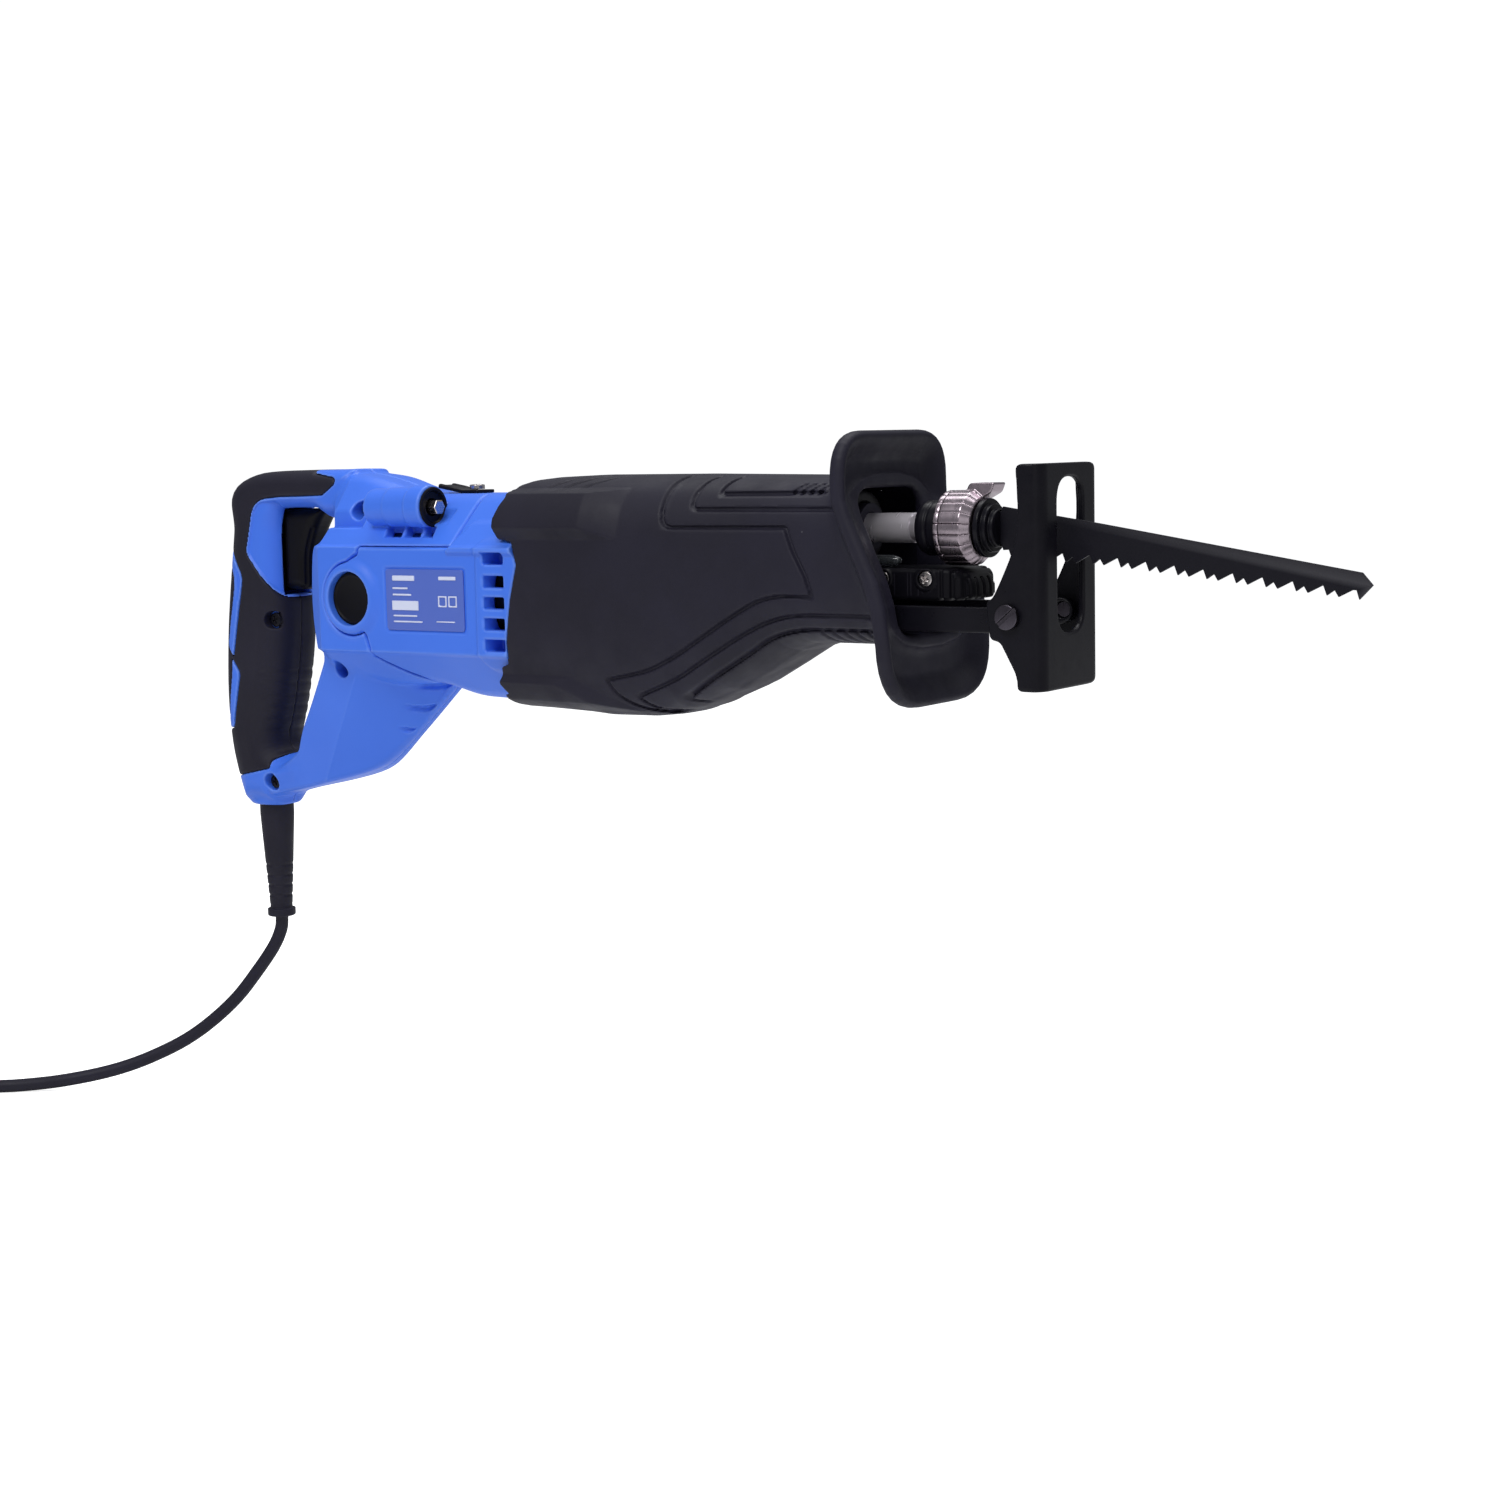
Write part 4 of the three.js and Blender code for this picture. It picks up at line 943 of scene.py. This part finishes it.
def make_strain_relief():
    """The tapered sleeve of the cord, with its segmented flex zone and end disc."""
    grid = Grid((-11, -10, -130), (9, 10, -56), 0.4, 0.8)
    x, y, z = grid.x - CORD_X, grid.y, grid.z
    radius = along([(-128, 6.7), (-124.2, 6.7), (-124, 5.3), (-78, 8.1), (-56, 8.1)], z)
    sleeve = meet(rod(x, y, radius), span(z, -128, -58), 0.8)
    rings = smooth(0.9, 0.3, np.abs((z + 200) % 5.0 - 2.5)) * smooth(-124, -120, z) * smooth(-98, -104, z)
    sleeve = cut(sleeve + 0.35 * rings, meet(rod(x, y, 3.3), span(z, -140, -120)), 0.4)
    moulded("cord_sleeve", sleeve, grid, RUBBER, "body", ["strain_relief"])


# ---- Screws --------------------------------------------------------------------------------------
FACING = {
    "right": ((1, 0, 0), (0, 0, 1), (0, -1, 0)),
    "left": ((-1, 0, 0), (0, 0, 1), (0, 1, 0)),
    "front": ((0, 1, 0), (0, 0, 1), (1, 0, 0)),
    "up": ((1, 0, 0), (0, 1, 0), (0, 0, 1)),
}


def screw_head(name, seat, facing, radius, height, cross, turn, look, body, stem=(0, 0)):
    """A domed head with a cross or a single slot, and a stem of (radius, length) behind it."""
    room = 0.6
    wide = radius + room
    grid = Grid((-wide, -wide, -stem[1] - room), (wide, wide, height + room), 0.13, 0.3)
    x, y, z = grid.xyz
    u = np.abs(x * math.cos(turn) + y * math.sin(turn))
    v = np.abs(y * math.cos(turn) - x * math.sin(turn))
    dome = z - height + 0.035 * (x**2 + y**2) * (8 / radius**2)
    head = meet(meet(rod(x, y, radius), dome, 0.35), -z, 0.15)
    if cross:
        reach = 0.58 * radius
        slot = np.minimum(np.maximum(u - 0.42, v - reach), np.maximum(v - 0.42, u - reach))
    else:
        slot = u - 0.75
    head = cut(head, np.maximum(slot, height * 0.42 - z), 0.12)
    if stem[1] > 0:
        head = union(head, meet(rod(x, y, stem[0]), span(z, -stem[1], 0.4)))
    vertices, quads = skin_of(head, grid)
    vertices = vertices @ np.array(FACING[facing]) + np.array(seat)
    link(name, mesh_from(name, vertices, quads), look, body, [name])


def make_screws():
    for i, (x, z, seat, _) in enumerate(HANDLE_SCREWS):
        seat_at = (x, -seat - 0.1, z)
        screw_head(f"handle_screw_{i + 1}", seat_at, "right", 3.3, 1.8, True, 0.4 + i, DARK, "body")
    for i, (x, z) in enumerate(NOSE_SCREWS):
        seat_at = (x, -13.9, z)
        screw_head(f"nose_screw_{i + 1}", seat_at, "right", 3.0, 2.3, True, 0.5 - 0.9 * i, STEEL, "body",
                   (1.5, 1.2))
    screw_head("case_screw", (338.4, -18, 56), "front", 3.3, 3.0, True, 0.3, STEEL, "body")
    screw_head("top_clip_screw", (CLIP_SCREW_X, 0, 77.1), "up", 3.4, 2.2, True, 0.2, STEEL, "body")
    for name, side in (("right", -1), ("left", 1)):
        seat_at = (PIVOT[0], side * (SHOE_HALF + GAP), PIVOT[1])
        screw_head(f"shoe_pivot_screw_{name}", seat_at, name, 4.8, 2.3, False, 0.87 * side, SHADED_GREY_STEEL,
                   "shoe", (3.0, 6.0))


# ---- Hex key and top clip ------------------------------------------------------------------------
def make_hex_key():
    grid = Grid((99, -32, 66), (138, -24, 74), 0.2, 0.4)
    u, v = grid.y - KEY_Y, grid.z - KEY_Z
    flats = np.maximum(np.abs(v), np.abs(v) / 2 + np.abs(u) * math.sqrt(3) / 2) - 3.0
    key = meet(flats, span(grid.x, 100, 136.5), 0.5)
    moulded("hex_key_bar", key, grid, STEEL, "hex_key", ["hex_key"])


def make_key_collar():
    """A black collar that lines the holder's mouth and grips the key."""
    profile = [(4.0, 118), (7.1, 118), (7.1, 132.2), (8.5, 132.2), (8.8, 132.5), (8.8, 132.9), (8.4, 133.2),
               (7.4, 133.2), (6.6, 132), (4.0, 131.8)]
    lathed("key_collar", profile, (KEY_Y, KEY_Z), "x", PLASTIC, "body")


def make_top_clip():
    grid = Grid((115, -7, 74), (149, 7, 80.5), 0.25, 0.5)
    x, y, z = grid.xyz
    line = along([(115, 78.7), (119, 78.0), (130, 76.1), (149, 76.1)], x)
    strip = meet(meet(np.abs(z - line) - 0.75, np.abs(y) - 6, 0.4), span(x, 116, 139), 0.5)
    rib = 0.5 * smooth(1.4, 0.4, np.abs(np.abs(y) - 4.4)) * smooth(128, 123, x)
    strip = cut(strip - rib * (z > line), rod(x - CLIP_SCREW_X, y, 2.3), 0.2)
    moulded("top_clip_strip", strip, grid, DARK, "body", ["top_clip"])


# ---- Rubber boot with the hand guard -------------------------------------------------------------
# Along X: the height of the top and of the bottom, and the half width.
BOOT_TOP = [(155, 73), (163, 75.3), (169.5, 78.7), (180, 81.2), (189, 82), (208, 82.6), (261, 82.4),
            (311, 81.5), (360, 80.6)]
BOOT_LOW = [(155, -17.2), (187, -17.8), (209, -18.6), (220, -19.4), (241, -19), (252, -17.8), (262, -14.6),
            (283, -6.2), (298, 2), (313, 10.6), (323, 13.6), (330, 14.2), (360, 14.2)]
BOOT_HALF = [(155, 40.6), (176, 41.4), (200, 41.4), (240, 41), (276, 39), (300, 37), (346, 35.5), (370, 35.5)]
BOOT_POWER = 3.2  # higher is boxier
GROOVES = [
    [(262, 95, 1), (262.4, 70, 1), (264, 61.4, 5), (323, 61.3, 1), (326.6, 52.2, 2), (332.6, 41.4, 3),
     (334.4, 34, 1), (321, 34.6, 4), (310, 32.8, 5), (298.5, 27, 8), (268.5, 8.9, 10), (255, 2.7, 6),
     (233.5, -1.6, 1), (236, -7.6, 3), (243, -12.8, 4), (251, -15.6, 4), (258, -16, 1)],
    [(277.4, 95, 1), (276, 73, 2), (277, 68.5, 3), (345, 68.3, 1)],
    [(360, 26.8, 1), (325, 26.9, 8), (312.9, 24.3, 6), (300, 18.5, 8), (265.2, -1.2, 8), (246, -8.4, 2),
     (251, -13.6, 3), (259, -16, 1)],
    [(289, 95, 1), (287.6, 76, 1), (288, 74.3, 1), (336.3, 74.3, 1)],
    [(362, 21.1, 1), (325.4, 21.1, 6), (312, 18, 6), (298, 9.6, 8), (265, -9, 2), (269, -12.6, 2),
     (275, -13.4, 1)],
]
TOP_RIBS = [[(191 + 9 * k, 33), (203 + 10 * k, 22), (212 + 10 * k, 9)] for k in range(3)]
FRONT_RIBS = [[(322 + 4 * k, 74.8), (325 + 4 * k, 77.4)] for k in range(5)]
FRONT_RIBS += [[(334 + 5.4 * k, 20), (336 + 5.4 * k, 14.5)] for k in range(5)]
# The guard's front face over its height.
CREST = [(-30, 373), (0, 373), (16, 372.4), (31, 370.1), (40, 367.2), (52, 361.6), (65, 355.6), (72, 353.2),
         (78, 353), (110, 353)]
GUARD_RIM = rounded([(-40.6, -9.6, 26), (40.6, -9.6, 26), (40.6, 98.6, 19), (-40.6, 98.6, 19)], steps=9)
MOUTH = rounded([(-24, 19, 8), (24, 19, 8), (24, 76, 10), (-24, 76, 10)])


def boot_body(grid):
    """The boot's skin: sections between a box and an ellipse, from the tables."""
    x, y, z = grid.xyz
    high, low, half = along(BOOT_TOP, x), along(BOOT_LOW, x), along(BOOT_HALF, x)
    middle, tall = (high + low) / 2, (high - low) / 2
    a, b = np.abs(y) / half, np.abs(z - middle) / tall
    ratio = np.maximum((a**BOOT_POWER + b**BOOT_POWER) ** (1 / BOOT_POWER), 1e-3)
    return (ratio - 1) * np.hypot(y, z - middle) / ratio


def boot_relief(grid):
    """Raised blocks, grooves and ribs on the boot, as a height over its skin."""
    x, z = grid.x, grid.z
    upper = np.minimum(np.minimum((z - 56.5) / 5, (242 - x) / 18), (77.5 - z) / 1.6)
    lower = np.minimum(np.minimum((-1.2 - z) / 3, (212 - 2.1 * z - x) / 14), (z + 16) / 4)
    height = 4.4 * np.clip(upper, 0, 1) + 3.0 * np.clip(lower, 0, 1)
    for groove in GROOVES:
        distance, _ = stroke(rounded(groove, closed=False), x, z)
        height = height - 1.5 * smooth(1.05, 0.45, distance)
    for rib in FRONT_RIBS:
        distance, _ = stroke(rib, x, z)
        height = height - 0.9 * smooth(1.1, 0.4, distance)
    for rib in TOP_RIBS:
        distance, _ = stroke(rib, x, np.abs(grid.y))
        height = height - 1.3 * smooth(1.3, 0.5, distance) * (z > 76)
    panel = rounded(GROOVES[0][2:11], closed=False)
    inside = region([(200, 61.4), *panel, (200, 0)], x, z)
    height = height - 0.5 * smooth(-1.0, 0.6, inside) * smooth(262, 266, x)
    return height * smooth(9, 14, np.abs(grid.y))


def make_boot():
    grid = Grid((154, -45, -24), (378, 45, 102), 0.66, 1.5)
    x, y, z = grid.xyz
    skin = boot_body(grid)
    outer = skin - boot_relief(grid)
    crest = along(CREST, z)
    rear = np.where(z > 74.3, 168 + 0.35 * np.abs(y), boot_rear(z))
    rear = np.where(z < -10, 172 + 0.12 * np.abs(y), rear).astype(np.float32)
    body = meet(meet(outer, rear - x, 0.9), (x - crest + 4) / 1.12)
    rim = region(GUARD_RIM, y, z)
    inward = np.maximum(-rim, 0)
    front = crest - 6.5 * smooth(1.5, 13, inward)
    back = crest - 6.6 - 2.6 * smooth(2, 16, inward)
    guard = meet((x - front) / 1.12, (back - x) / 1.12, 2.4)
    guard = meet(guard, rim, 2.6)
    shape = union(body, guard, 6)
    shape = cut(shape, np.maximum(skin + 3.2, x - 346))
    shape = cut(shape, meet(np.maximum(region(MOUTH, y, z), skin + 3.2), 345.5 - x), 2.0)
    flange = np.maximum(blue_skin(grid) - GAP, x - 182.4)
    shape = cut(shape, flange)
    moulded("rubber_boot", shape, grid, RUBBER, "body", ["front_boot"])


# ---- Gear case and nose --------------------------------------------------------------------------
NOSE_SCREWS = [(355.4, 40.8), (375, 40.8)]
CASE_REAR, CASE_FRONT = 182.3, 341.0


def make_gear_case():
    grid = Grid((180, -38, -11), (343, 38, 77), 0.8, 1.4)
    x, y, z = grid.xyz
    tower = region(rounded([(-36, 6, 6), (-36, 50, 6), (-20, 70, 7), (20, 70, 7), (36, 50, 6), (36, 6, 6),
                            (20, -7, 6), (-20, -7, 6)]), y, z)
    top = rounded([(-20, 34, 1), (-20, 68, 5), (-14, 74, 5), (14, 74, 5), (20, 68, 5), (20, 34, 1)])
    case = meet(tower, span(x, CASE_REAR, 232), 1.5)
    gear_drum = meet(rod(x - GEAR_X, y, 32.5), span(z, 3, 50), 1.5)
    axle_boss = meet(rod(x - GEAR_X, y, 16), span(z, -9.5, 4), 0.8)
    tunnel = meet(region(top, y, z), span(x, 225, 330), 1.2)
    nose = meet(meet(np.abs(y) - 16.5, span(z, 23.6, 40), 1.5), span(x, 268, CASE_FRONT), 0.8)
    neck = meet(rod(y, z - PLUNGER_Z, 15), span(x, 320, 338), 1.2)
    screw_boss = meet(rod(y + 18, z - 56, 4.8), span(x, 322, 338), 0.8)
    for part in (gear_drum, axle_boss, tunnel, nose, neck, screw_boss):
        case = union(case, part, 2.0)
    case = np.maximum(case, span(x, CASE_REAR, CASE_FRONT))
    ribs = smooth(1.6, 0.6, np.abs((x + 4) % 16 - 8)) * smooth(262, 268, x) * smooth(22, 14, np.abs(y))
    case = case - 0.8 * ribs * (z > 70)
    rooms = [
        meet(rod(x - GEAR_X, y, 29.5), span(z, 6.5, 46)),
        meet(rod(x - GEAR_X, y, 13.3), span(z, -12, 8)),
        meet(meet(span(x, 205, 300), np.abs(y) - 22.4), span(z, 38, 66)),
        meet(rod(y, z - PLUNGER_Z, 6.5), 204 - x),
        meet(rod(y, z - MOTOR_Z, 9.2), x - 189),
        meet(rod(y, z - MOTOR_Z, 13.4), span(x, 187.7, 235)),
        meet(rod(y, z - PLUNGER_Z, 10.4), span(x, 303, 312.4)),
        meet(rod(y, z - PLUNGER_Z, 10.4), 322 - x),
    ]
    for room in rooms:
        case = cut(case, room, 0.3)
    moulded("gear_case_casting", case, grid, CAST, "body", ["gear_case"])


def make_nose_cover():
    grid = Grid((340, -17.5, 31), (395, 17.5, 47), 0.3, 0.6)
    x, y, z = grid.xyz
    side = region(rounded([(341.3, 32.5, 1), (341.3, 44.7, 1.5), (387, 44.7, 5), (392.6, 39.5, 4),
                           (392.6, 32.5, 3)]), x, z)
    plan = region(rounded([(341.3, -16, 1), (341.3, 16, 1), (386, 16, 5), (392.6, 9, 4), (392.6, -9, 4),
                           (386, -16, 5)]), x, y)
    cover = meet(side, plan, 1.6)
    ribs = smooth(0.9, 0.3, np.abs((x - 380) % 4.0 - 2.0)) * (x > 379.5) * smooth(7, 11, np.abs(y))
    flutes = smooth(0.9, 0.3, np.abs((np.abs(y) + 2) % 4.6 - 2.3)) * (x > 387) * (z < 41)
    cover = cover + 0.9 * np.maximum(ribs, flutes) * smooth(45, 43, z)
    for at_x, at_z in NOSE_SCREWS:
        pad = meet(meet(rod(x - at_x, z - at_z, 4.4), -16.6 - y), y + 12, 0.5)
        cover = cut(union(cover, pad, 0.8), meet(rod(x - at_x, z - at_z, 3.25), y + 12.2), 0.4)
        cover = np.maximum(cover, z - 44.8)
    cover = cut(cover, meet(meet(span(x, 330, 350), np.abs(y) - 6), span(z, 20, 60)))
    moulded("nose_casing", cover, grid, PLASTIC, "body", ["nose_cover"])


def make_lamp():
    profile = [(0, 341.7), (2.1, 341.7), (2.3, 342), (2.3, 355.6), (2.2, 357.2), (1.8, 358.8), (1.1, 360),
               (0, 360.5)]
    lathed("lamp_lens", profile, (-9.5, 47.5), "x", LENS, "body", ["work_light"], sides=40)


# ---- Plunger, blade clamp and blade --------------------------------------------------------------
def make_plunger():
    profile = [(0, 220), (5.4, 220), (6, 220.6), (6, 361.2), (5.4, 361.6), (5.4, 363.6), (6, 364),
               (6, 381.4), (5.5, 382), (0, 382)]
    lathed("plunger_rod", profile, (0, PLUNGER_Z), "x", POLISHED_WITH_PAINTED_SHEEN, "plunger", ["plunger"])


def blade_gap(grid):
    """The room that the blade's tang takes up in the clamp."""
    return meet(meet(np.abs(grid.y) - 1.05, np.abs(grid.z - PLUNGER_Z) - 6.9), 384 - grid.x)


def make_clamp():
    grid = Grid((365, -12, 48), (394, 12, 72), 0.3, 0.6)
    radius = np.hypot(grid.y, grid.z - PLUNGER_Z)
    outer = along([(366, 9.2), (367, 10.2), (368.6, 10.9), (377, 10.9), (377.1, 9.2), (393, 9.2)], grid.x)
    groove = 0.5 * smooth(0.8, 0.3, np.abs(grid.x - 371.6))
    sleeve = meet(radius - outer + groove, span(grid.x, 366, 393), 0.6)
    sleeve = cut(cut(sleeve, radius - 6.35), blade_gap(grid))
    moulded("clamp_sleeve", sleeve, grid, DARK, "plunger", ["clamp_body"])

    grid = Grid((392.5, -12.4, 47.6), (401, 12.4, 72.4), 0.25, 0.5)
    radius = np.hypot(grid.y, grid.z - PLUNGER_Z)
    nose = meet(radius - 11.5, span(grid.x, 393.3, 395.6), 0.5)
    nose = union(nose, meet(radius - 9.4, span(grid.x, 394, 397.8), 0.5))
    nose = union(nose, meet(radius - 7.4, span(grid.x, 394, 400), 0.7))
    moulded("clamp_front", cut(nose, blade_gap(grid)), grid, CLAMP_CAP, "plunger", ["clamp_nose"])


def make_clamp_ring():
    """The knurled ring: facets between grooves, a broad front chamfer and a finger tab."""
    facets = 20
    grid = Grid((374, -16, 44), (398.5, 16, 79), 0.26, 0.5)
    x, y, z = grid.x, grid.y, grid.z - PLUNGER_Z
    radius = np.hypot(y, z)
    turn = np.arctan2(z, y) / (2 * math.pi) * facets
    share = np.abs(turn - np.round(turn))
    outline = 14.7 - 0.2 * (2 * share) ** 2 - 0.55 * smooth(0.45, 0.48, share)
    outline = outline - 0.8 * np.maximum(x - 389, 0) * (radius > 9)
    outline = outline - 0.2 * smooth(0.5, 0.1, np.abs(x - 379.6))
    ring = meet(radius - outline, span(x, 377.4, 392.6), 0.4)
    side = rounded([(384, 72, 1), (386.4, 77.4, 1.5), (397.6, 77.4, 1), (396, 73.6, 1), (391, 71, 1)])
    tab = meet(region(side, x, grid.z), span(y, -1, 8.6), 0.5)
    ring = cut(union(ring, tab, 0.8), radius - 9.55)
    moulded("release_ring", ring, grid, NICKEL, "clamp_ring", ["clamp_ring"])


PAIRS = 12  # teeth come in pairs, a deep gullet and then a shallow one
PAIR = 11.6
# Each pair's corners: distance along the blade and height over the line of the tips.
TOOTH = [(0, 3.3), (1.3, 0), (4.2, 2.3), (5.7, 0), (11.0, 3.2)]
BLADE_REAR = 401.0  # where the tang widens into the blade
BLADE_BEND = 443.0  # the back and the tips slope more steeply from here


def blade_back(x):
    return 68.2 - 0.158 * (x - BLADE_REAR) if x < BLADE_BEND else 61.6 - 0.169 * (x - BLADE_BEND)


def blade_tips(x):
    return 48.4 - 0.055 * (x - BLADE_REAR) if x < BLADE_BEND else 46.1 - 0.113 * (x - BLADE_BEND)


def make_blade():
    tang_rear, tang_front, tang_low, tang_high = 386.2, 400.4, 53.6, 66.4
    points = [(tang_rear, tang_high), (tang_rear, tang_low), (tang_front, tang_low),
              (BLADE_REAR, blade_tips(BLADE_REAR) + 3)]
    for k in range(PAIRS):
        for step, height in TOOTH:
            x = 403.4 + k * PAIR + step
            points.append((x, blade_tips(x) + height))
    points += [(543.4, blade_tips(543) + 3.2), (544.4, blade_tips(544)), (549.4, 39.8),
               (545.4, blade_back(545.4)), (BLADE_BEND, blade_back(BLADE_BEND)),
               (BLADE_REAR, blade_back(BLADE_REAR)), (tang_front, tang_high)]
    upright_plate("saw_blade", points, 1.4, 0.12, BLADE_STEEL, "plunger", ["blade"])


# ---- Shoe and its bracket ------------------------------------------------------------------------
def make_shoe():
    grid = Grid((404, -26.5, -2.5), (431.5, 26.5, 86.5), 0.42, 0.8)
    x, y, z = grid.xyz
    outer = meet(x - 430, np.abs(y) - SHOE_HALF, 7)
    inner = meet(x - 427.4, np.abs(y) - 22.4, 4.4)
    side = region(rounded([(432, 85, 0.5), (419.6, 85, 3), (420.6, 69, 8), (420, 56, 8), (413, 41, 5),
                           (409.4, 34.4, 2), (406.6, 33, 2), (408.2, 18.6, 2), (412.4, 18, 2), (419.6, 5, 3),
                           (419.8, -1, 2.5), (432, -1, 0.5)]), x, z)
    front = region(rounded([(-25, -1, 2), (25, -1, 11), (25, 85, 11), (-25, 85, 2)], steps=8), y, z)
    sheet = meet(meet(cut(outer, inner), side, 0.5), front, 0.8)
    slot = rounded([(-10.5, 20.5, 10), (10.5, 20.5, 10), (10.5, 79.5, 10), (-10.5, 79.5, 10)], steps=9)
    sheet = cut(sheet, meet(region(slot, y, z), 420 - x), 0.9)
    sheet = cut(sheet, rod(x - PIVOT[0], z - PIVOT[1], 3.3), 0.3)
    moulded("shoe_plate", sheet, grid, DARK, "shoe", ["shoe"])


def make_bracket():
    grid = Grid((303, -22.5, 19), (422.5, 22.5, 34.5), 0.4, 0.8)
    x, y, z = grid.xyz
    side = region(rounded([(304, 20.5, 1), (304, 31, 1), (408, 30.6, 3), (416, 32.6, 4), (421, 30, 4),
                           (421, 24, 4), (414, 21, 4)]), x, z)
    arms = meet(side, np.abs(np.abs(y) - 19.5) - 1.5, 0.5)
    floor = meet(meet(span(z, 20.5, 23), span(x, 304, 334)), np.abs(y) - 21, 0.5)
    bracket = cut(union(arms, floor, 0.8), rod(x - PIVOT[0], z - PIVOT[1], 3.3), 0.3)
    moulded("shoe_arms", bracket, grid, DARK, "shoe_bracket", ["shoe_bracket"])


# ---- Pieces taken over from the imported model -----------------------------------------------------
INSIDE = [
    (STEEL, "armature_shaft rear_bearing front_bearing crank_gear crank_roller gear_axle gear_bearing yoke"),
    (IRON, "stator_core armature_core"),
    (COPPER, "field_coil_upper field_coil_lower commutator"),
    (BRASS, "brush_holder_right brush_holder_left rear_bushing front_bushing"),
    (CARBON, "carbon_brush_right carbon_brush_left"),
    (PLASTIC, "cooling_fan switch_body"),
    (RUBBER, "plunger_seal"),
    (CAST, "gear_case_lid"),
]


def dress_inside():
    """Looks and broken edges for the inner pieces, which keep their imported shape."""
    for (material, _), names in INSIDE:
        for name in names.split():
            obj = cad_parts[name]
            obj.data.materials.clear()
            obj.data.materials.append(material)
            weld = obj.modifiers.new("weld", "WELD")
            weld.merge_threshold = 0.01 * MM
            bevel = obj.modifiers.new("broken edges", "BEVEL")
            bevel.width = 0.25 * MM
            bevel.segments = 2
            bevel.limit_method = "ANGLE"
            bevel.angle_limit = math.radians(28)


# ---- Stage ---------------------------------------------------------------------------------------
def make_floor():
    mesh = bpy.data.meshes.new("floor")
    reach, z = 60, FLOOR_Z * MM
    corners = [(-reach, -reach, z), (reach, -reach, z), (reach, reach, z), (-reach, reach, z)]
    mesh.from_pydata(corners, [], [(0, 1, 2, 3)])
    floor = bpy.data.objects.new("floor", mesh)
    bpy.context.scene.collection.objects.link(floor)
    paint = Look("floor_paint", (0.9, 0.9, 0.9), 0.95, Specular_IOR_Level=0.0)
    paint.shader.inputs["Emission Color"].default_value = (1, 1, 1, 1)
    seen = paint.nodes.new("ShaderNodeLightPath").outputs["Is Camera Ray"]
    paint.links.new(paint.ranged(seen, 0, 1, 0, 0.78), paint.shader.inputs["Emission Strength"])
    mesh.materials.append(paint.material)


def make_world():
    """White behind the saw for the camera, and a softer sky for its light and reflections."""
    world = bpy.data.worlds.new("studio")
    world.use_nodes = True
    nodes, links = world.node_tree.nodes, world.node_tree.links
    backdrop = nodes["Background"]
    backdrop.inputs["Color"].default_value = (1, 1, 1, 1)
    backdrop.inputs["Strength"].default_value = 1.05
    sky = nodes.new("ShaderNodeBackground")
    sky.inputs["Color"].default_value = (0.94, 0.96, 1, 1)
    sky.inputs["Strength"].default_value = 0.3
    path = nodes.new("ShaderNodeLightPath")
    mix = nodes.new("ShaderNodeMixShader")
    links.new(path.outputs["Is Camera Ray"], mix.inputs["Fac"])
    links.new(sky.outputs["Background"], mix.inputs[1])
    links.new(backdrop.outputs["Background"], mix.inputs[2])
    links.new(mix.outputs["Shader"], nodes["World Output"].inputs["Surface"])
    bpy.context.scene.world = world


def make_studio_lamp(name, place, aim, width, height, power):
    lamp = bpy.data.lights.new(name, "AREA")
    lamp.shape = "RECTANGLE"
    lamp.size, lamp.size_y = width, height
    lamp.energy = power
    obj = bpy.data.objects.new(name, lamp)
    obj.location = place
    obj.rotation_euler = (Vector(aim) - Vector(place)).to_track_quat("-Z", "Y").to_euler()
    bpy.context.scene.collection.objects.link(obj)


def main():
    make_camera()
    cord, length = make_cord()
    tie = make_tie()
    plug, pins = make_plug()
    for side, name in ((-1, "right"), (1, "left")):
        make_shell(side, name)
        make_grip_cover(side, name)
    for make in (make_trigger, make_motor_housing, make_vent_shade_baffle, make_label, make_brush_caps,
                 make_strain_relief, make_screws, make_hex_key, make_key_collar, make_top_clip, make_boot,
                 make_gear_case, make_nose_cover, make_lamp, make_plunger, make_clamp, make_clamp_ring,
                 make_blade, make_shoe, make_bracket, dress_inside):
        make()
    make_floor()
    make_world()
    make_studio_lamp("key", (0.35, -1.3, 1.5), (0.2, 0, 0), 1.2, 0.8, 22)
    make_studio_lamp("top", (0.2, 0.5, 1.6), (0.2, 0, 0), 1.6, 0.7, 17)
    make_studio_lamp("front", (1.5, -0.9, 0.5), (0.35, 0, 0.05), 0.4, 0.9, 1)
    bpy.context.scene.view_settings.view_transform = "Standard"


main()
